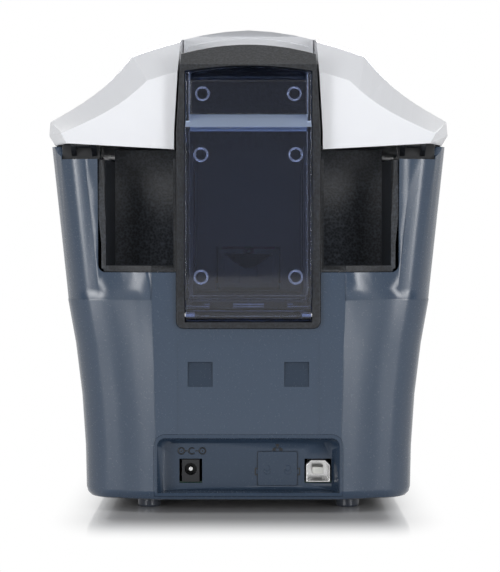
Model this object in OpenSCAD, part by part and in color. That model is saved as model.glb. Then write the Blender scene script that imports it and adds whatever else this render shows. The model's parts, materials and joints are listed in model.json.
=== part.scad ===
// ID card printer with a rear card feeder, a rear-hinged hood and a geared card path.
// Row frame: +Z up, front towards -Y, rear towards +Y, origin on the floor under the middle.

/* [Overall] */
// Length from the front of the casing to the rear face of the feeder door
overall_l = 380; // [360:1:400]
// Height of the casing's underside above the floor
foot_h = 6.4; // [5:0.1:9]

/* [Casing] */
// Width of the casing at its underside
base_w = 164.4; // [156:0.1:170]
// Width of the casing at the crease round its waist
crease_w = 183; // [178:0.1:188]
// Width of the casing at its rim
rim_w = 199.4; // [194:0.1:203]
// Height of the crease above the floor
crease_z = 106; // [100:0.5:110]
// Height of the casing's rim above the floor
rim_z = 183.2; // [180:0.1:190]
// Thickness of the casing's wall
casing_wall = 2.8; // [2:0.1:3.5]
// Width of the flat middle of the rear face, from the crease up
middle_w = 96; // [92:0.5:100]
// Width of the flat middle at its lower end
middle_low_w = 90; // [86:0.5:92]
// How far the rear lobes fall away beside the flat middle
lobe_fall = 8; // [5:0.5:12]
// Extra fall of the rear lobes above the crease
crease_step = 3; // [1:0.5:5]
// Radius of the upright rear corners
rear_corner_r = 17; // [12:0.5:22]
// Radius of the upright front corners
front_corner_r = 24; // [16:0.5:30]
// Radius round the bottom edge
bottom_edge_r = 5; // [3:0.5:7]
// Width of the label panel on the rear face
label_w = 70.6; // [60:0.1:74]
// Height of the label panel
label_h = 48; // [40:0.5:50]
// Side of the two square catch windows
catch_w = 12.4; // [10:0.1:14]
// Distance between the centres of the catch windows
catch_pitch = 48; // [44:0.5:52]

/* [Hood] */
// Height of the hood's crown above the floor
hood_crown_z = 247; // [243:0.5:252]
// Width across the tips of the hood's wings
hood_w = 205; // [203:0.1:208]
// Width across the hood's shoulders
shoulder_w = 118; // [112:0.5:124]
// Thickness of the hood's wall
hood_wall = 2.6; // [2:0.1:3.2]
// Gap between the hood and the casing's rim
hood_gap = 0.8; // [0.5:0.1:1.5]
// Depth of the slanted band between the hood's rear face and its crown
hood_band = 22; // [18:0.5:28]
// Distance from the casing's rear face to the hood's rear face
hood_inset = 6; // [5:0.5:8]
// Radius of the hood's hinge pins
hood_pin_r = 1.5; // [1.2:0.1:1.8]
// Width of each hood knuckle
knuckle_w = 7; // [5:0.5:7.5]

/* [Feeder] */
// Width of the feeder frame
spine_w = 71.4; // [70:0.1:73]
// Width of the frame's border round the door
spine_border = 4.1; // [3.6:0.1:5]
// Height of the frame's lower edge above the floor
spine_bottom_z = 92.4; // [90:0.1:95]
// Height of the frame's arch above the floor
spine_top_z = 234; // [230:0.5:236]
// How far the frame stands out from the casing
spine_proud = 3; // [2:0.5:4]
// How far the door's box stands out from the frame
door_proud = 9; // [7:0.5:12]
// Thickness of the door's wall
door_wall = 2; // [1.6:0.1:2.6]
// Height of the door's box
door_box_h = 84.8; // [80:0.1:86]
// Height of the slanted ledge above the box
door_ledge_h = 7.4; // [6:0.1:9]
// Height of the finger pocket above the ledge
door_pocket_h = 23; // [18:0.5:24]
// Depth of the finger pocket behind the frame's face
door_pocket_d = 12; // [8:0.5:14]
// Width of a card
card_w = 54; // [53.5:0.1:55]
// Length of a card
card_l = 85.6; // [85:0.1:86.5]
// Thickness of a card
card_t = 0.76; // [0.5:0.01:1]
// Height of the card path above the floor
card_z = 108; // [107:0.5:109]
// Width of the card gate
gate_w = 32; // [28:0.5:36]
// Height of the card gate
gate_h = 22; // [18:0.5:24]
// Travel of the card gate
gate_travel = 3; // [2:0.5:3.5]

/* [Grip pockets] */
// Distance from the middle to the pocket's outer side
grip_out_x = 72; // [70:0.5:74]
// Width of the pocket's lip
grip_lip = 3; // [2.5:0.1:4]
// Height of the pocket's floor above the floor
grip_floor_z = 123.4; // [120:0.1:126]
// Depth of the pocket
grip_depth = 40; // [34:0.5:44]

/* [Connector panel] */
// Width of the connector recess
port_w = 90.6; // [88:0.1:92]
// Height of the top of the connector recess
port_top_z = 37.5; // [36:0.1:38]
// Height of the recess's sill
port_sill_z = 10.3; // [9:0.1:12]
// Depth of the connector recess
port_depth = 13; // [10:0.5:16]
// Slope of the recess's walls over its depth
port_draft = 3.4; // [2:0.1:4]
// Radius of the power jack's bore
jack_bore_r = 3.05; // [2.8:0.05:3.3]
// Width of the square USB port's shell
usb_w = 12; // [11.8:0.1:12.2]
// Height of the square USB port's shell
usb_h = 11; // [10.8:0.1:11.2]
// Width of the network port's blanking plate
lan_w = 19.8; // [19:0.1:21]
// Height of the network port's blanking plate
lan_h = 17; // [16:0.1:17.5]

/* [Card path] */
// Radius of the rubber rollers
roller_r = 6.5; // [6:0.1:7]
// Radius of the roller shafts
shaft_r = 3; // [2.5:0.1:3.5]
// Distance between the side plates
chassis_in_w = 76; // [74:0.5:78]
// Thickness of the side plates
plate_t = 2; // [1.5:0.1:2.5]
// Place of the pick roller along the length
pick_y = 126; // [124:0.5:128]
// Place of the feed roller along the length
feed_y = 70; // [68:0.5:72]
// Place of the platen roller along the length
platen_y = -4; // [-6:0.5:-2]
// Place of the exit roller along the length
exit_y = -74; // [-76:0.5:-72]

/* [Gears] */
// Module of the gear train
gear_m = 1.25; // [1.2:0.01:1.3]
// Face width of the gears
gear_face = 5; // [4:0.5:6]
// Teeth on each roller gear and motor pinion
roller_teeth = 18; // [18:1:19]
// Teeth on the rear idler
idler_a_teeth = 30; // [30:1:32]
// Teeth on the middle idler
idler_b_teeth = 44; // [44:1:46]
// Teeth on the front idler
idler_c_teeth = 42; // [42:1:43]
// Teeth on the ribbon take-up gear
take_up_teeth = 30; // [28:1:31]
// Backlash between meshing teeth
backlash = 0.2; // [0.15:0.01:0.3]

/* [Ribbon] */
// Place of the supply spool along the length
supply_y = 44; // [42:0.5:46]
// Place of the take-up spool along the length
take_up_y = -66; // [-68:0.5:-64]
// Height of the spools above the floor
spool_z = 160; // [158:0.5:162]
// Radius of a spool's core
core_r = 9; // [8:0.5:10]
// Radius of the full roll of film
film_roll_r = 16; // [12:0.5:17]
// Width of the film
film_w = 60; // [58:0.5:62]
// Thickness of the film
film_t = 0.3; // [0.25:0.01:0.35]

/* [Front] */
// Width of the front panel
panel_w = 120; // [110:0.5:126]
// Height of the front panel's lower edge
panel_bottom_z = 112; // [110:0.5:116]
// Height of the front panel's upper edge
panel_top_z = 176; // [172:0.5:178]
// Width of the output opening
output_w = 68; // [66:0.5:72]
// Height of the output opening's sill
output_bottom_z = 38; // [36:0.5:42]
// Height of the output opening's top
output_top_z = 102; // [98:0.5:106]
// Travel of the hood release button
release_travel = 2.5; // [1.5:0.1:3]
// Travel of the feed button
feed_travel = 1; // [0.6:0.1:1.4]

/* [Fits] */
// Clearance round a fixed piece
fit = 0.3; // [0.2:0.05:0.4]
// Radial clearance of a running shaft
run = 0.08; // [0.05:0.01:0.1]

/* [Hidden] */
$fn = 48;
far = 600;
eps = 0.01;

// Places along the length
rear_y = overall_l / 2;
spine_face_y = rear_y - door_proud;
casing_rear_y = spine_face_y - spine_proud;
front_y = -overall_l / 2;

// Curves and lofts
function mix(a, b, t) = a + (b - a) * t;
function bezier(p, t) =
    pow(1 - t, 3) * p[0] + 3 * t * pow(1 - t, 2) * p[1] + 3 * t * t * (1 - t) * p[2] + pow(t, 3) * p[3];
function mirror_x(pts) = [for (p = pts) [-p[0], p[1]]];
function reversed(v) = [for (i = [len(v) - 1:-1:0]) v[i]];
function strip_faces(n, rings) = [
    for (k = [0:rings - 2], i = [0:n - 1], half = [0, 1])
        let (a = k * n + i, b = k * n + (i + 1) % n, c = a + n, d = b + n)
            half == 0 ? [a, c, b] : [b, c, d]
];
function caps(n, rings) = [[for (i = [0:n - 1]) i], [for (i = [n - 1:-1:0]) (rings - 1) * n + i]];

module loft(rings) {
    n = len(rings[0]);
    points = [for (ring = rings, p = ring) p];
    polyhedron(points = points, faces = concat(strip_faces(n, len(rings)), caps(n, len(rings))),
               convexity = 8);
}

// Extrusions that run along the length (y) and across the width (x)
module along_y(y0, y1) translate([0, y1, 0]) rotate([90, 0, 0]) linear_extrude(y1 - y0) children();
module along_x(x0, x1) translate([x0, 0, 0]) rotate([90, 0, 90]) linear_extrude(x1 - x0) children();
module block(x0, x1, y0, y1, z0, z1) translate([x0, y0, z0]) cube([x1 - x0, y1 - y0, z1 - z0]);
module both_sides() { children(); mirror([1, 0, 0]) children(); }
module rod_x(x0, x1, y, z, r) translate([x0, y, z]) rotate([0, 90, 0]) cylinder(r = r, h = x1 - x0);
module tube_x(x0, x1, y, z, r_out, r_in) translate([x0, y, z]) rotate([0, 90, 0]) difference() {
    cylinder(r = r_out, h = x1 - x0);
    translate([0, 0, -1]) cylinder(r = r_in, h = x1 - x0 + 2);
}
// Keeps a moulded shell, with its many small faces, as one smooth-surfaced body
module moulding() resize([0, 0, 0]) children();
// Square with rounded corners, from its centre
module rounded(w, h, r) union() {
    square([w - 2 * r, h], center = true);
    square([w, h - 2 * r], center = true);
    for (sx = [-1, 1], sy = [-1, 1]) translate([sx * (w / 2 - r), sy * (h / 2 - r)]) circle(r);
}

// ---- Casing form ----
floor_t = 2.5;
belly_rake = 13;
brow_rake = 8;
crease_lip = 0.8;
crease_fillet = 6;
casing_floor_z = foot_h + floor_t;
function casing_half(z) = z < crease_z
    ? mix(base_w, crease_w, pow(max(0, z - foot_h) / (crease_z - foot_h), 2.2)) / 2
    : mix(crease_w, rim_w, (z - crease_z) / (rim_z - crease_z)) / 2;
function casing_front(z) = z < crease_z
    ? front_y + belly_rake * pow((crease_z - z) / (crease_z - foot_h), 2)
    : front_y + brow_rake * pow((z - crease_z) / (rim_z - crease_z), 2);
function middle_half(z) = mix(middle_low_w, middle_w, min(1, max(0, (z - foot_h) / (crease_z - foot_h)))) / 2;
function lobe_depth(z) = lobe_fall
    + crease_step * (z <= crease_z ? 0 : z < crease_z + crease_fillet - 1 ? 0.75 : 1);
function casing_half_ring(z, d) =
    let (hw = casing_half(z) - d, yr = casing_rear_y - d, yf = casing_front(z) + d, mh = middle_half(z),
         fall = lobe_depth(z), edge = 0.6, rr = rear_corner_r - d, rf = front_corner_r - d)
    concat(
        [[mh, yr]],
        [for (t = [0:0.25:0.8]) [mix(mh + edge, hw - rr, t), yr - mix(edge, fall, pow(t, 1.5))]],
        [for (a = [90:-15:0]) [hw - rr + rr * cos(a), yr - fall - rr + rr * sin(a)]],
        [for (a = [0:-15:-90]) [hw - rf + rf * cos(a), yf + rf + rf * sin(a)]]
    );
function casing_ring(z, d) = let (h = casing_half_ring(z, d))
    [for (p = concat(mirror_x(h), reversed(h))) [p[0], p[1], z]];
function levels(z0, z1) = concat([z0],
    [for (z = [32, 58, 84, crease_z, crease_z + crease_lip, crease_z + crease_fillet, 134, 160])
        if (z > z0 + 0.5 && z < z1 - 0.5) z], [z1]);
module casing_body(d, z0, z1) loft([for (z = levels(z0, z1)) casing_ring(z, d)]);
module casing_outer() loft(concat(
    [for (a = [0:30:60]) casing_ring(foot_h + bottom_edge_r * (1 - cos(a)), bottom_edge_r * (1 - sin(a)))],
    [for (z = levels(foot_h + bottom_edge_r, rim_z)) casing_ring(z, 0)]
));

// ---- Places of the feeder ----
door_bottom_gap = 3.1;
flange_h = 11.3;
spine_corner_r = 3.5;
spine_taper = 2.2;
spine_taper_z = 190;
arch_sag = 5.2;
door_sag = 2.6;
tower_front_y = spine_face_y - 84;
door_z0 = spine_bottom_z + door_bottom_gap;
box_z0 = door_z0 + flange_h;
box_z1 = box_z0 + door_box_h;
ledge_z1 = box_z1 + door_ledge_h;
door_top_z = ledge_z1 + door_pocket_h;
open_half = spine_w / 2 - spine_border;
door_half = open_half - 0.5;
pocket_y = spine_face_y - door_pocket_d;
stack_y1 = rear_y - door_wall - 0.4;
stack_y0 = stack_y1 - card_l - 0.4;
hopper_wall = 1.8;
hopper_half = card_w / 2 + 0.6;
hopper_top_z = box_z1 - 8.6;
floor_top_z = card_z - 0.6;
floor_under_z = floor_top_z - 2.2;
axis_z = card_z - roller_r;

// ---- Places of the hood ----
ear_r = 3.2;
hood_rear_y = casing_rear_y - hood_inset;
hinge_y = hood_rear_y - hood_wall - 0.6 - ear_r;
hinge_z = rim_z + 2.3;
hood_low_z = rim_z + hood_gap;
spine_reach = norm([hinge_y - tower_front_y, spine_top_z - hinge_z]);
hood_cut_r = spine_reach + 0.8;
hood_front_y = casing_front(rim_z) + 5;
sweep_r = norm([hinge_y - hood_rear_y, hinge_z - hood_low_z + 3]) + 0.3;
deck_edge_z = hinge_z - sweep_r - 0.2;
deck_edge_half = rim_w / 2 - 6;
deck_lap = 0.5;

// Half outline of the hood at one station, from the lower edge up to the crown
function hood_half(tip, shoulder, crown_z, low_z, mid_z) =
    let (dx = shoulder[0] - tip[0], dz = shoulder[1] - tip[1],
         c = [tip, [tip[0] + 0.386 * dx, tip[1] + 0.274 * dz], [tip[0] + 0.687 * dx, tip[1] + 0.486 * dz],
              shoulder])
    concat(
        [[spine_w / 2 + 1, mid_z], [tip[0] - 2.4, low_z], [tip[0] + 0.6, low_z + 5]],
        [for (t = [0:0.125:1]) bezier(c, t)],
        [for (u = [0.8:-0.2:0.2]) [shoulder[0] * u, crown_z - (crown_z - shoulder[1]) * pow(u, 1.8)]]
    );
function hood_ring(y, lean, tip, shoulder, crown_z, low_z, mid_z) =
    let (h = hood_half(tip, shoulder, crown_z, low_z, mid_z),
         all = concat(h, [[0, crown_z]], reversed(mirror_x(h))))
    [for (p = all) [p[0], y - lean * (p[1] - hinge_z), p[1]]];
// Stations along the hood, drawn in by d for the inside of its wall
hood_half_w = hood_w / 2;
shoulder_half = shoulder_w / 2;
hood_band_y = hood_rear_y - hood_band;
function hood_station(s, d) =
    let (low = d > 0 ? hood_low_z - 20 : hood_low_z,
         side = bezier([[hood_half_w - 1.9, rim_z + 12.8], [hood_half_w - 0.6, rim_z + 16.8],
                        [hood_half_w - 0.6, rim_z + 16.8], [hood_half_w - 7.5, rim_z + 4.5]], s),
         brow = bezier([[shoulder_half, hood_crown_z - 18], [shoulder_half + 2, hood_crown_z - 8],
                        [shoulder_half + 1, hood_crown_z - 6], [shoulder_half - 9, rim_z + 10]], s),
         top = bezier([[hood_band_y, hood_crown_z - 5.6], [hood_band_y - 55, hood_crown_z + 5],
                       [hood_band_y - 190, hood_crown_z + 7.5], [hood_front_y, rim_z + 13.5]], s))
    hood_ring(top[0] + d * s * 1.0, 0, [side[0] - d, side[1] - d * 0.6], [brow[0] - d, brow[1] - d],
              top[1] - d, low, low);
function hood_rear_ring(d) =
    let (low = d > 0 ? hood_low_z - 20 : hood_low_z + 0.4, mid = d > 0 ? low : hood_low_z - 2.6)
    hood_ring(hood_rear_y - d, 0.1, [hood_half_w - 9.6 - d, rim_z + 6.4 - d * 0.6],
              [shoulder_half - 8.4 - d, hood_crown_z - 31.2 - d], hood_crown_z - 21.5 - d, low, mid);
module hood_outer() loft(concat([hood_rear_ring(0)], [for (s = [0:0.1:1.001]) hood_station(s, 0)]));
module hood_cavity(d) loft(concat([hood_rear_ring(d)], [for (s = [0:0.1:1.001]) hood_station(s, d)]));
// Space for the feeder frame, swept about the hinge axis
module spine_notch(grow) intersection() {
    $fn = 120;
    low_half = spine_w / 2 + 1.4 + grow;
    top_half = spine_w / 2 - spine_taper + 1.2 + grow;
    half = [[low_half, 100], [low_half, spine_taper_z], [top_half, spine_top_z], [top_half, 300]];
    along_y(0, far) polygon(concat(half, reversed(mirror_x(half))));
    rod_x(-far, far, hinge_y, hinge_z, hood_cut_r + grow);
}

// ---- Gears ----
pressure = 20;
gear_x0 = chassis_in_w / 2 + plate_t + 2.5;
gear_x1 = gear_x0 + gear_face;
function pitch_r(teeth) = gear_m * teeth / 2;
function involute(r, rb) = let (t = sqrt(max(0, r * r / (rb * rb) - 1))) t * 180 / PI - atan(t);
function centre_distance(a, b) = pitch_r(a) + pitch_r(b);
function idler_place(y1, y2, teeth) = let (c = centre_distance(roller_teeth, teeth), h = (y1 - y2) / 2)
    [(y1 + y2) / 2, axis_z - sqrt(c * c - h * h)];
// Phase of gear b that puts its gaps on the teeth of gear a, with b at the given direction from a
function mesh_phase(phase_a, teeth_a, teeth_b, direction) =
    direction + 180 + 360 / teeth_b * (0.5 - (phase_a - direction) * teeth_a / 360);
function heading(from, to) = atan2(to[1] - from[1], to[0] - from[0]);
module gear_outline(teeth, phase) {
    rp = pitch_r(teeth);
    rb = rp * cos(pressure);
    ra = rp + gear_m * 0.95;
    rr = rp - 1.25 * gear_m;
    half_p = 90 / teeth - backlash / 2 / rp * 180 / PI + involute(rp, rb);
    flank = [max(rb, rr + 0.2), mix(rb, rp, 0.9), mix(rp, ra, 0.55), ra];
    low_half = half_p - involute(flank[0], rb);
    side = concat([[rr, low_half]], [for (r = flank) [r, half_p - involute(r, rb)]]);
    polygon([for (k = [0:teeth - 1]) let (mid = phase + k * 360 / teeth)
        for (p = concat([for (q = side) [q[0], -q[1]]], reversed(side)))
            p[0] * [cos(mid + p[1]), sin(mid + p[1])]]);
}
module gear(place, teeth, phase, bore_r, hub_r, holes) {
    translate([gear_x0, place[0], place[1]]) rotate([90, 0, 90]) difference() {
        union() {
            linear_extrude(gear_face) gear_outline(teeth, phase);
            translate([0, 0, -0.8]) cylinder(r = hub_r, h = gear_face + 0.8);
        }
        translate([0, 0, -2]) cylinder(r = bore_r, h = gear_face + 4);
        if (holes > 0) for (k = [0:holes - 1]) rotate(k * 360 / holes)
            translate([(pitch_r(teeth) + hub_r - gear_m) / 2, 0, -1])
                cylinder(r = (pitch_r(teeth) - hub_r) * 0.27, h = gear_face + 2);
        if (holes > 0) for (z = [-eps, gear_face - 1.2]) translate([0, 0, z]) difference() {
            cylinder(r = pitch_r(teeth) - 2.4 * gear_m, h = 1.2 + eps);
            translate([0, 0, -1]) cylinder(r = hub_r, h = 4);
        }
    }
}
pick_at = [pick_y, axis_z];
feed_at = [feed_y, axis_z];
platen_at = [platen_y, axis_z];
exit_at = [exit_y, axis_z];
idler_a_at = idler_place(pick_y, feed_y, idler_a_teeth);
idler_b_at = idler_place(feed_y, platen_y, idler_b_teeth);
idler_c_at = idler_place(platen_y, exit_y, idler_c_teeth);
motor_heading = -75;
motor_at = idler_b_at
    + centre_distance(idler_b_teeth, roller_teeth) * [cos(motor_heading), sin(motor_heading)];
take_up_at = [take_up_y, spool_z];
supply_at = [supply_y, spool_z];
ribbon_heading = 210;
ribbon_motor_at = take_up_at
    + centre_distance(take_up_teeth, roller_teeth) * [cos(ribbon_heading), sin(ribbon_heading)];
// Phases worked out along the train, from the platen's gear
platen_phase = 0;
idler_b_phase = mesh_phase(platen_phase, roller_teeth, idler_b_teeth, heading(platen_at, idler_b_at));
feed_phase = mesh_phase(idler_b_phase, idler_b_teeth, roller_teeth, heading(idler_b_at, feed_at));
motor_phase = mesh_phase(idler_b_phase, idler_b_teeth, roller_teeth, motor_heading);
idler_a_phase = mesh_phase(feed_phase, roller_teeth, idler_a_teeth, heading(feed_at, idler_a_at));
pick_phase = mesh_phase(idler_a_phase, idler_a_teeth, roller_teeth, heading(idler_a_at, pick_at));
idler_c_phase = mesh_phase(platen_phase, roller_teeth, idler_c_teeth, heading(platen_at, idler_c_at));
exit_phase = mesh_phase(idler_c_phase, idler_c_teeth, roller_teeth, heading(idler_c_at, exit_at));
take_up_phase = 0;
ribbon_phase = mesh_phase(take_up_phase, take_up_teeth, roller_teeth, ribbon_heading);

// ---- Shell of the casing ----
port_z = 20.1;
port_wall = 1.8;
port_corner_r = 4;
jack_x = 29;
usb_x = -35;
lan_x = -14.6;
label_z0 = port_top_z + 0.6;
catch_z = 69.4;
foot_x = 50.7;
plate_half = base_w / 2 - bottom_edge_r - 5.5;
plate_y0 = casing_front(foot_h) + bottom_edge_r + 8;
plate_y1 = casing_rear_y - port_depth - 8;
plate_r = 8;
casing_color = [0.33, 0.37, 0.44];
black = [0.14, 0.15, 0.17];

module spine_outline(grow) {
    h = spine_w / 2 + grow;
    r = spine_corner_r + grow;
    z0 = spine_bottom_z - grow;
    top_half = h - spine_taper;
    polygon(concat(
        [for (a = [180:15:270]) [-h + r + r * cos(a), z0 + r + r * sin(a)]],
        [for (a = [270:15:360]) [h - r + r * cos(a), z0 + r + r * sin(a)]],
        [[h, spine_taper_z]],
        [for (u = [1:-0.125:-1]) [top_half * u, spine_top_z + grow - arch_sag * u * u]],
        [[-h, spine_taper_z]]
    ));
}
// Rear opening for the two grip pockets
module grip_outline(grow) {
    x1 = grip_out_x + grip_lip + grow;
    z0 = grip_floor_z - grip_lip - grow;
    r = spine_corner_r + grow;
    polygon(concat(
        [[0, rim_z], [0, z0]],
        [for (a = [270:15:360]) [x1 - r + r * cos(a), z0 + r + r * sin(a)]],
        [[x1, rim_z]]
    ));
}
module port_slab(y, grow) {
    inset = port_draft * (casing_rear_y - y) / port_depth;
    w = port_w - 2 * inset + 2 * grow;
    z0 = port_sill_z - grow;
    z1 = port_top_z - inset + grow;
    translate([0, 0, (z0 + z1) / 2]) along_y(y - 0.5, y) {
        rounded(w, z1 - z0, port_corner_r + grow);
        // Square lower corners
        translate([0, (z0 - z1) / 4]) square([w, (z1 - z0) / 2], center = true);
    }
}
module port_hollow(grow) hull() {
    $fn = 32;
    port_slab(casing_rear_y + 0.5, grow);
    port_slab(casing_rear_y - port_depth - (grow > 0 ? 2 : 0) + 0.5, grow);
}
module panel_region(grow) block(
    -panel_w / 2 - grow, panel_w / 2 + grow, front_y - 5, front_y + 30, panel_bottom_z - grow,
    panel_top_z + grow);
module output_region(grow) block(
    -output_w / 2 - grow, output_w / 2 + grow, front_y - 5, front_y + 20, output_bottom_z - grow,
    output_top_z + grow);
module catch_cut(x) {
    // A square mouth whose floor ramps down towards the top
    translate([x, 0, 0]) along_x(-catch_w / 2, catch_w / 2) polygon([
        [casing_rear_y + 1, catch_z - catch_w / 2], [casing_rear_y - 0.8, catch_z - catch_w / 2],
        [casing_rear_y - casing_wall + 0.8, catch_z + catch_w / 2],
        [casing_rear_y + 1, catch_z + catch_w / 2]]);
}
module plan_outline(half, y0, y1, r) translate([0, (y0 + y1) / 2]) rounded(2 * half, y1 - y0, r);

module base_casing() color(casing_color) moulding() difference() {
    casing_outer();
    casing_body(casing_wall, casing_floor_z, rim_z + 5);
    translate([0, 0, foot_h - 1]) linear_extrude(floor_t + 2)
        plan_outline(plate_half + fit, plate_y0 - fit, plate_y1 + fit, plate_r);
    along_y(casing_rear_y - 30, casing_rear_y + 10) spine_outline(fit);
    both_sides() along_y(casing_rear_y - 30, casing_rear_y + 10) grip_outline(fit);
    block(-deck_edge_half, deck_edge_half, casing_rear_y - 30, rear_y, deck_edge_z - deck_lap, rim_z + 1);
    rod_x(-far / 2, far / 2, hinge_y, hinge_z, sweep_r);
    port_hollow(port_wall + 0.15);
    along_y(casing_rear_y - 0.4, casing_rear_y + 1) translate([0, label_z0 + label_h / 2])
        square([label_w, label_h], center = true);
    for (side = [-1, 1]) catch_cut(side * catch_pitch / 2);
    panel_region(0.2);
    output_region(0.3);
}

module bottom_plate() color(black) translate([0, 0, foot_h]) difference() {
    linear_extrude(floor_t) plan_outline(plate_half, plate_y0, plate_y1, plate_r);
    // Vent slots under the board
    for (k = [-4:4]) translate([k * 9, 120, -1]) linear_extrude(floor_t + 2) rounded(3, 46, 1.4);
}

foot_r = 5.8;
foot_flange_r = 7.4;
module feet() color([0.1, 0.1, 0.11]) for (sx = [-1, 1], y = [plate_y0 + 14, plate_y1 - 12])
    translate([sx * foot_x, y, 0]) rotate_extrude() polygon([
        [0, 0], [foot_r - 0.8, 0], [foot_r, 0.8], [foot_r, foot_h - 2], [foot_flange_r, foot_h - 2],
        [foot_flange_r, foot_h], [0, foot_h]]);

// ---- Feeder ----
module door_opening_outline(grow) {
    h = open_half + grow;
    polygon(concat(
        [[-h, door_z0 - grow], [h, door_z0 - grow]],
        [for (u = [1:-0.125:-1]) [h * u, door_top_z + 0.4 + grow - door_sag * u * u]]
    ));
}
door_pin_r = 1.5;
door_barrel_r = 3;
door_pivot = [spine_face_y + 0.4 - door_barrel_r, door_z0 + 0.5 + door_barrel_r];
module spine_frame() color(black) difference() {
    intersection() {
        along_y(tower_front_y, spine_face_y) spine_outline(0);
        // The top is rounded about the hood's hinge, so that the hood clears it
        union() {
            rod_x(-far / 2, far / 2, hinge_y, hinge_z, spine_reach);
            block(-far / 2, far / 2, tower_front_y - 1, rear_y, 0, hinge_z);
        }
    }
    along_y(tower_front_y + 2, rear_y + 5) door_opening_outline(0);
    // Sloping brow above the door
    along_x(-far / 2, far / 2) polygon([
        [spine_face_y, door_top_z + 1], [spine_face_y - 16, spine_top_z + 1], [rear_y + 20, spine_top_z + 1],
        [rear_y + 20, door_top_z + 1]]);
    // Room for the card path in front of the door frame
    block(-far / 2, far / 2, tower_front_y - 1, spine_face_y - 20, spine_bottom_z - 5, card_z + 4);
    // Window in front of the card gate
    block(-gate_w / 2 - 6, gate_w / 2 + 6, tower_front_y - 1, tower_front_y + 3, card_z,
          card_z + gate_h + 10);
    both_sides() rod_x(open_half - 1, open_half + 2.6, door_pivot[0], door_pivot[1], door_pin_r + 0.02);
}

gate_t = 3;
gate_z0 = card_z + card_t + 0.4;
gate_z1 = gate_z0 + gate_h;
gate_y1 = stack_y0 - hopper_wall - 0.2;
gate_y0 = gate_y1 - gate_t;
spring_z0 = gate_z0 + gate_h * 0.55;
spring_top_z = gate_z1 + 0.6;
spring_r = 1.7;
slot_half = 2.6;
module card_hopper() color(black) {
    wall_out = hopper_half + hopper_wall;
    difference() {
        block(-wall_out, wall_out, stack_y0 - hopper_wall, spine_face_y - 9.6, floor_under_z, hopper_top_z);
        block(-hopper_half, hopper_half, stack_y0, rear_y, floor_top_z, rear_y + 100);
        // Window for the pick roller
        block(-23, 23, pick_y - roller_r - 2, pick_y + roller_r + 2, floor_under_z - 1, floor_top_z + 1);
        // Mouth that the lowest card leaves through, and the gate's window
        block(-gate_w / 2 - 1, gate_w / 2 + 1, stack_y0 - 5, stack_y0 + 1, floor_top_z, gate_z1 + 1.4);
        block(-hopper_half, hopper_half, stack_y0 - 5, stack_y0 + 1, floor_top_z, gate_z0);
        // Thumb cut-outs that show the stack's height
        both_sides() block(hopper_half - 1, wall_out + 1, stack_y0 + 30, stack_y0 + 48, card_z + 14, box_z1 + 1);
    }
    // Guides of the gate
    both_sides() difference() {
        block(gate_w / 2 - 2, gate_w / 2 + 2.6, gate_y0 - 1.8, stack_y0 - hopper_wall, gate_z0 + 4,
              gate_z1 + 2.6);
        block(gate_w / 2 - 3, gate_w / 2 + 0.3, gate_y0 - 0.3, stack_y0, gate_z0, gate_z1 + 5);
    }
    // Seat at the spring's upper end
    block(-slot_half + 0.3, slot_half - 0.3, gate_y0, stack_y0 - hopper_wall, spring_top_z, gate_z1 + 6);
    // Ribs that stand against the frame
    both_sides() for (y = [stack_y0 + 14, stack_y0 + 54])
        block(wall_out - eps, open_half - 0.3, y, y + 2, card_z + 5, hopper_top_z - 2);
}

module card_gate() color([0.1, 0.11, 0.13]) difference() {
    block(-gate_w / 2, gate_w / 2, gate_y0, gate_y1, gate_z0, gate_z1);
    block(-slot_half, slot_half, gate_y0 - 1, gate_y1 + 1, spring_z0, gate_z1 + 1);
    // Lead-in at the lower edge
    along_x(-gate_w, gate_w) polygon([
        [gate_y1 + 1, gate_z0 - 1], [gate_y1 - 1.6, gate_z0 - 1], [gate_y1 - 1.6, gate_z0],
        [gate_y1, gate_z0 + 1.6], [gate_y1 + 1, gate_z0 + 1.6]]);
    // Panels either side of the middle rib
    both_sides() block(slot_half + 2, gate_w / 2 - 3, gate_y1 - 0.8, gate_y1 + 1, gate_z0 + 4, gate_z1 - 2.5);
}

// Coil drawn as one closed tube of six sides
module coil(r, wire_r, turns, height) {
    sides = 6;
    steps = turns * 10;
    rings = [for (k = [0:steps]) let (a = k * 36, z = wire_r + (height - 2 * wire_r) * k / steps)
        [for (j = [0:sides - 1]) let (b = j * 360 / sides)
            [(r + wire_r * cos(b)) * cos(a), (r + wire_r * cos(b)) * sin(a), z + wire_r * sin(b)]]];
    points = [for (ring = rings, p = ring) p];
    polyhedron(points = points, faces = concat(strip_faces(sides, len(rings)), caps(sides, len(rings))));
}
module gate_spring() color("silver") translate([0, (gate_y0 + gate_y1) / 2, spring_z0 + 0.1])
    coil(spring_r - 0.5, 0.3, 5, spring_top_z - spring_z0 - 0.2);

// Side view of the door's outer face, from the hinge up to the rim
face_y = spine_face_y + 0.4;
door_profile = [
    [face_y, door_pivot[1]], [face_y, box_z0], [rear_y, box_z0], [rear_y, box_z1], [pocket_y, ledge_z1],
    [pocket_y, door_top_z - 6], [face_y - 1.5, door_top_z]
];
mark_r = 3.4;
module mark_ring(x, y, z) translate([x, y + 0.2, z]) rotate([90, 0, 0]) difference() {
    cylinder(r = mark_r, h = 0.55);
    translate([0, 0, -1]) cylinder(r = mark_r - 0.5, h = 3);
}
module door_ribbon(p, wall) {
    // The profile thickened inwards by the wall
    polygon(concat(p, [
        [p[6][0] - wall * 0.7, p[6][1] - eps], [p[5][0] - wall, p[5][1] + wall * 0.6],
        [p[4][0] - wall, p[4][1] - wall * 0.6], [p[3][0] - wall, p[3][1] - wall],
        [p[2][0] - wall, p[2][1] + wall],
        [p[1][0] - wall, p[1][1] + wall], [p[0][0] - wall, p[0][1]]]));
}
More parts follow.
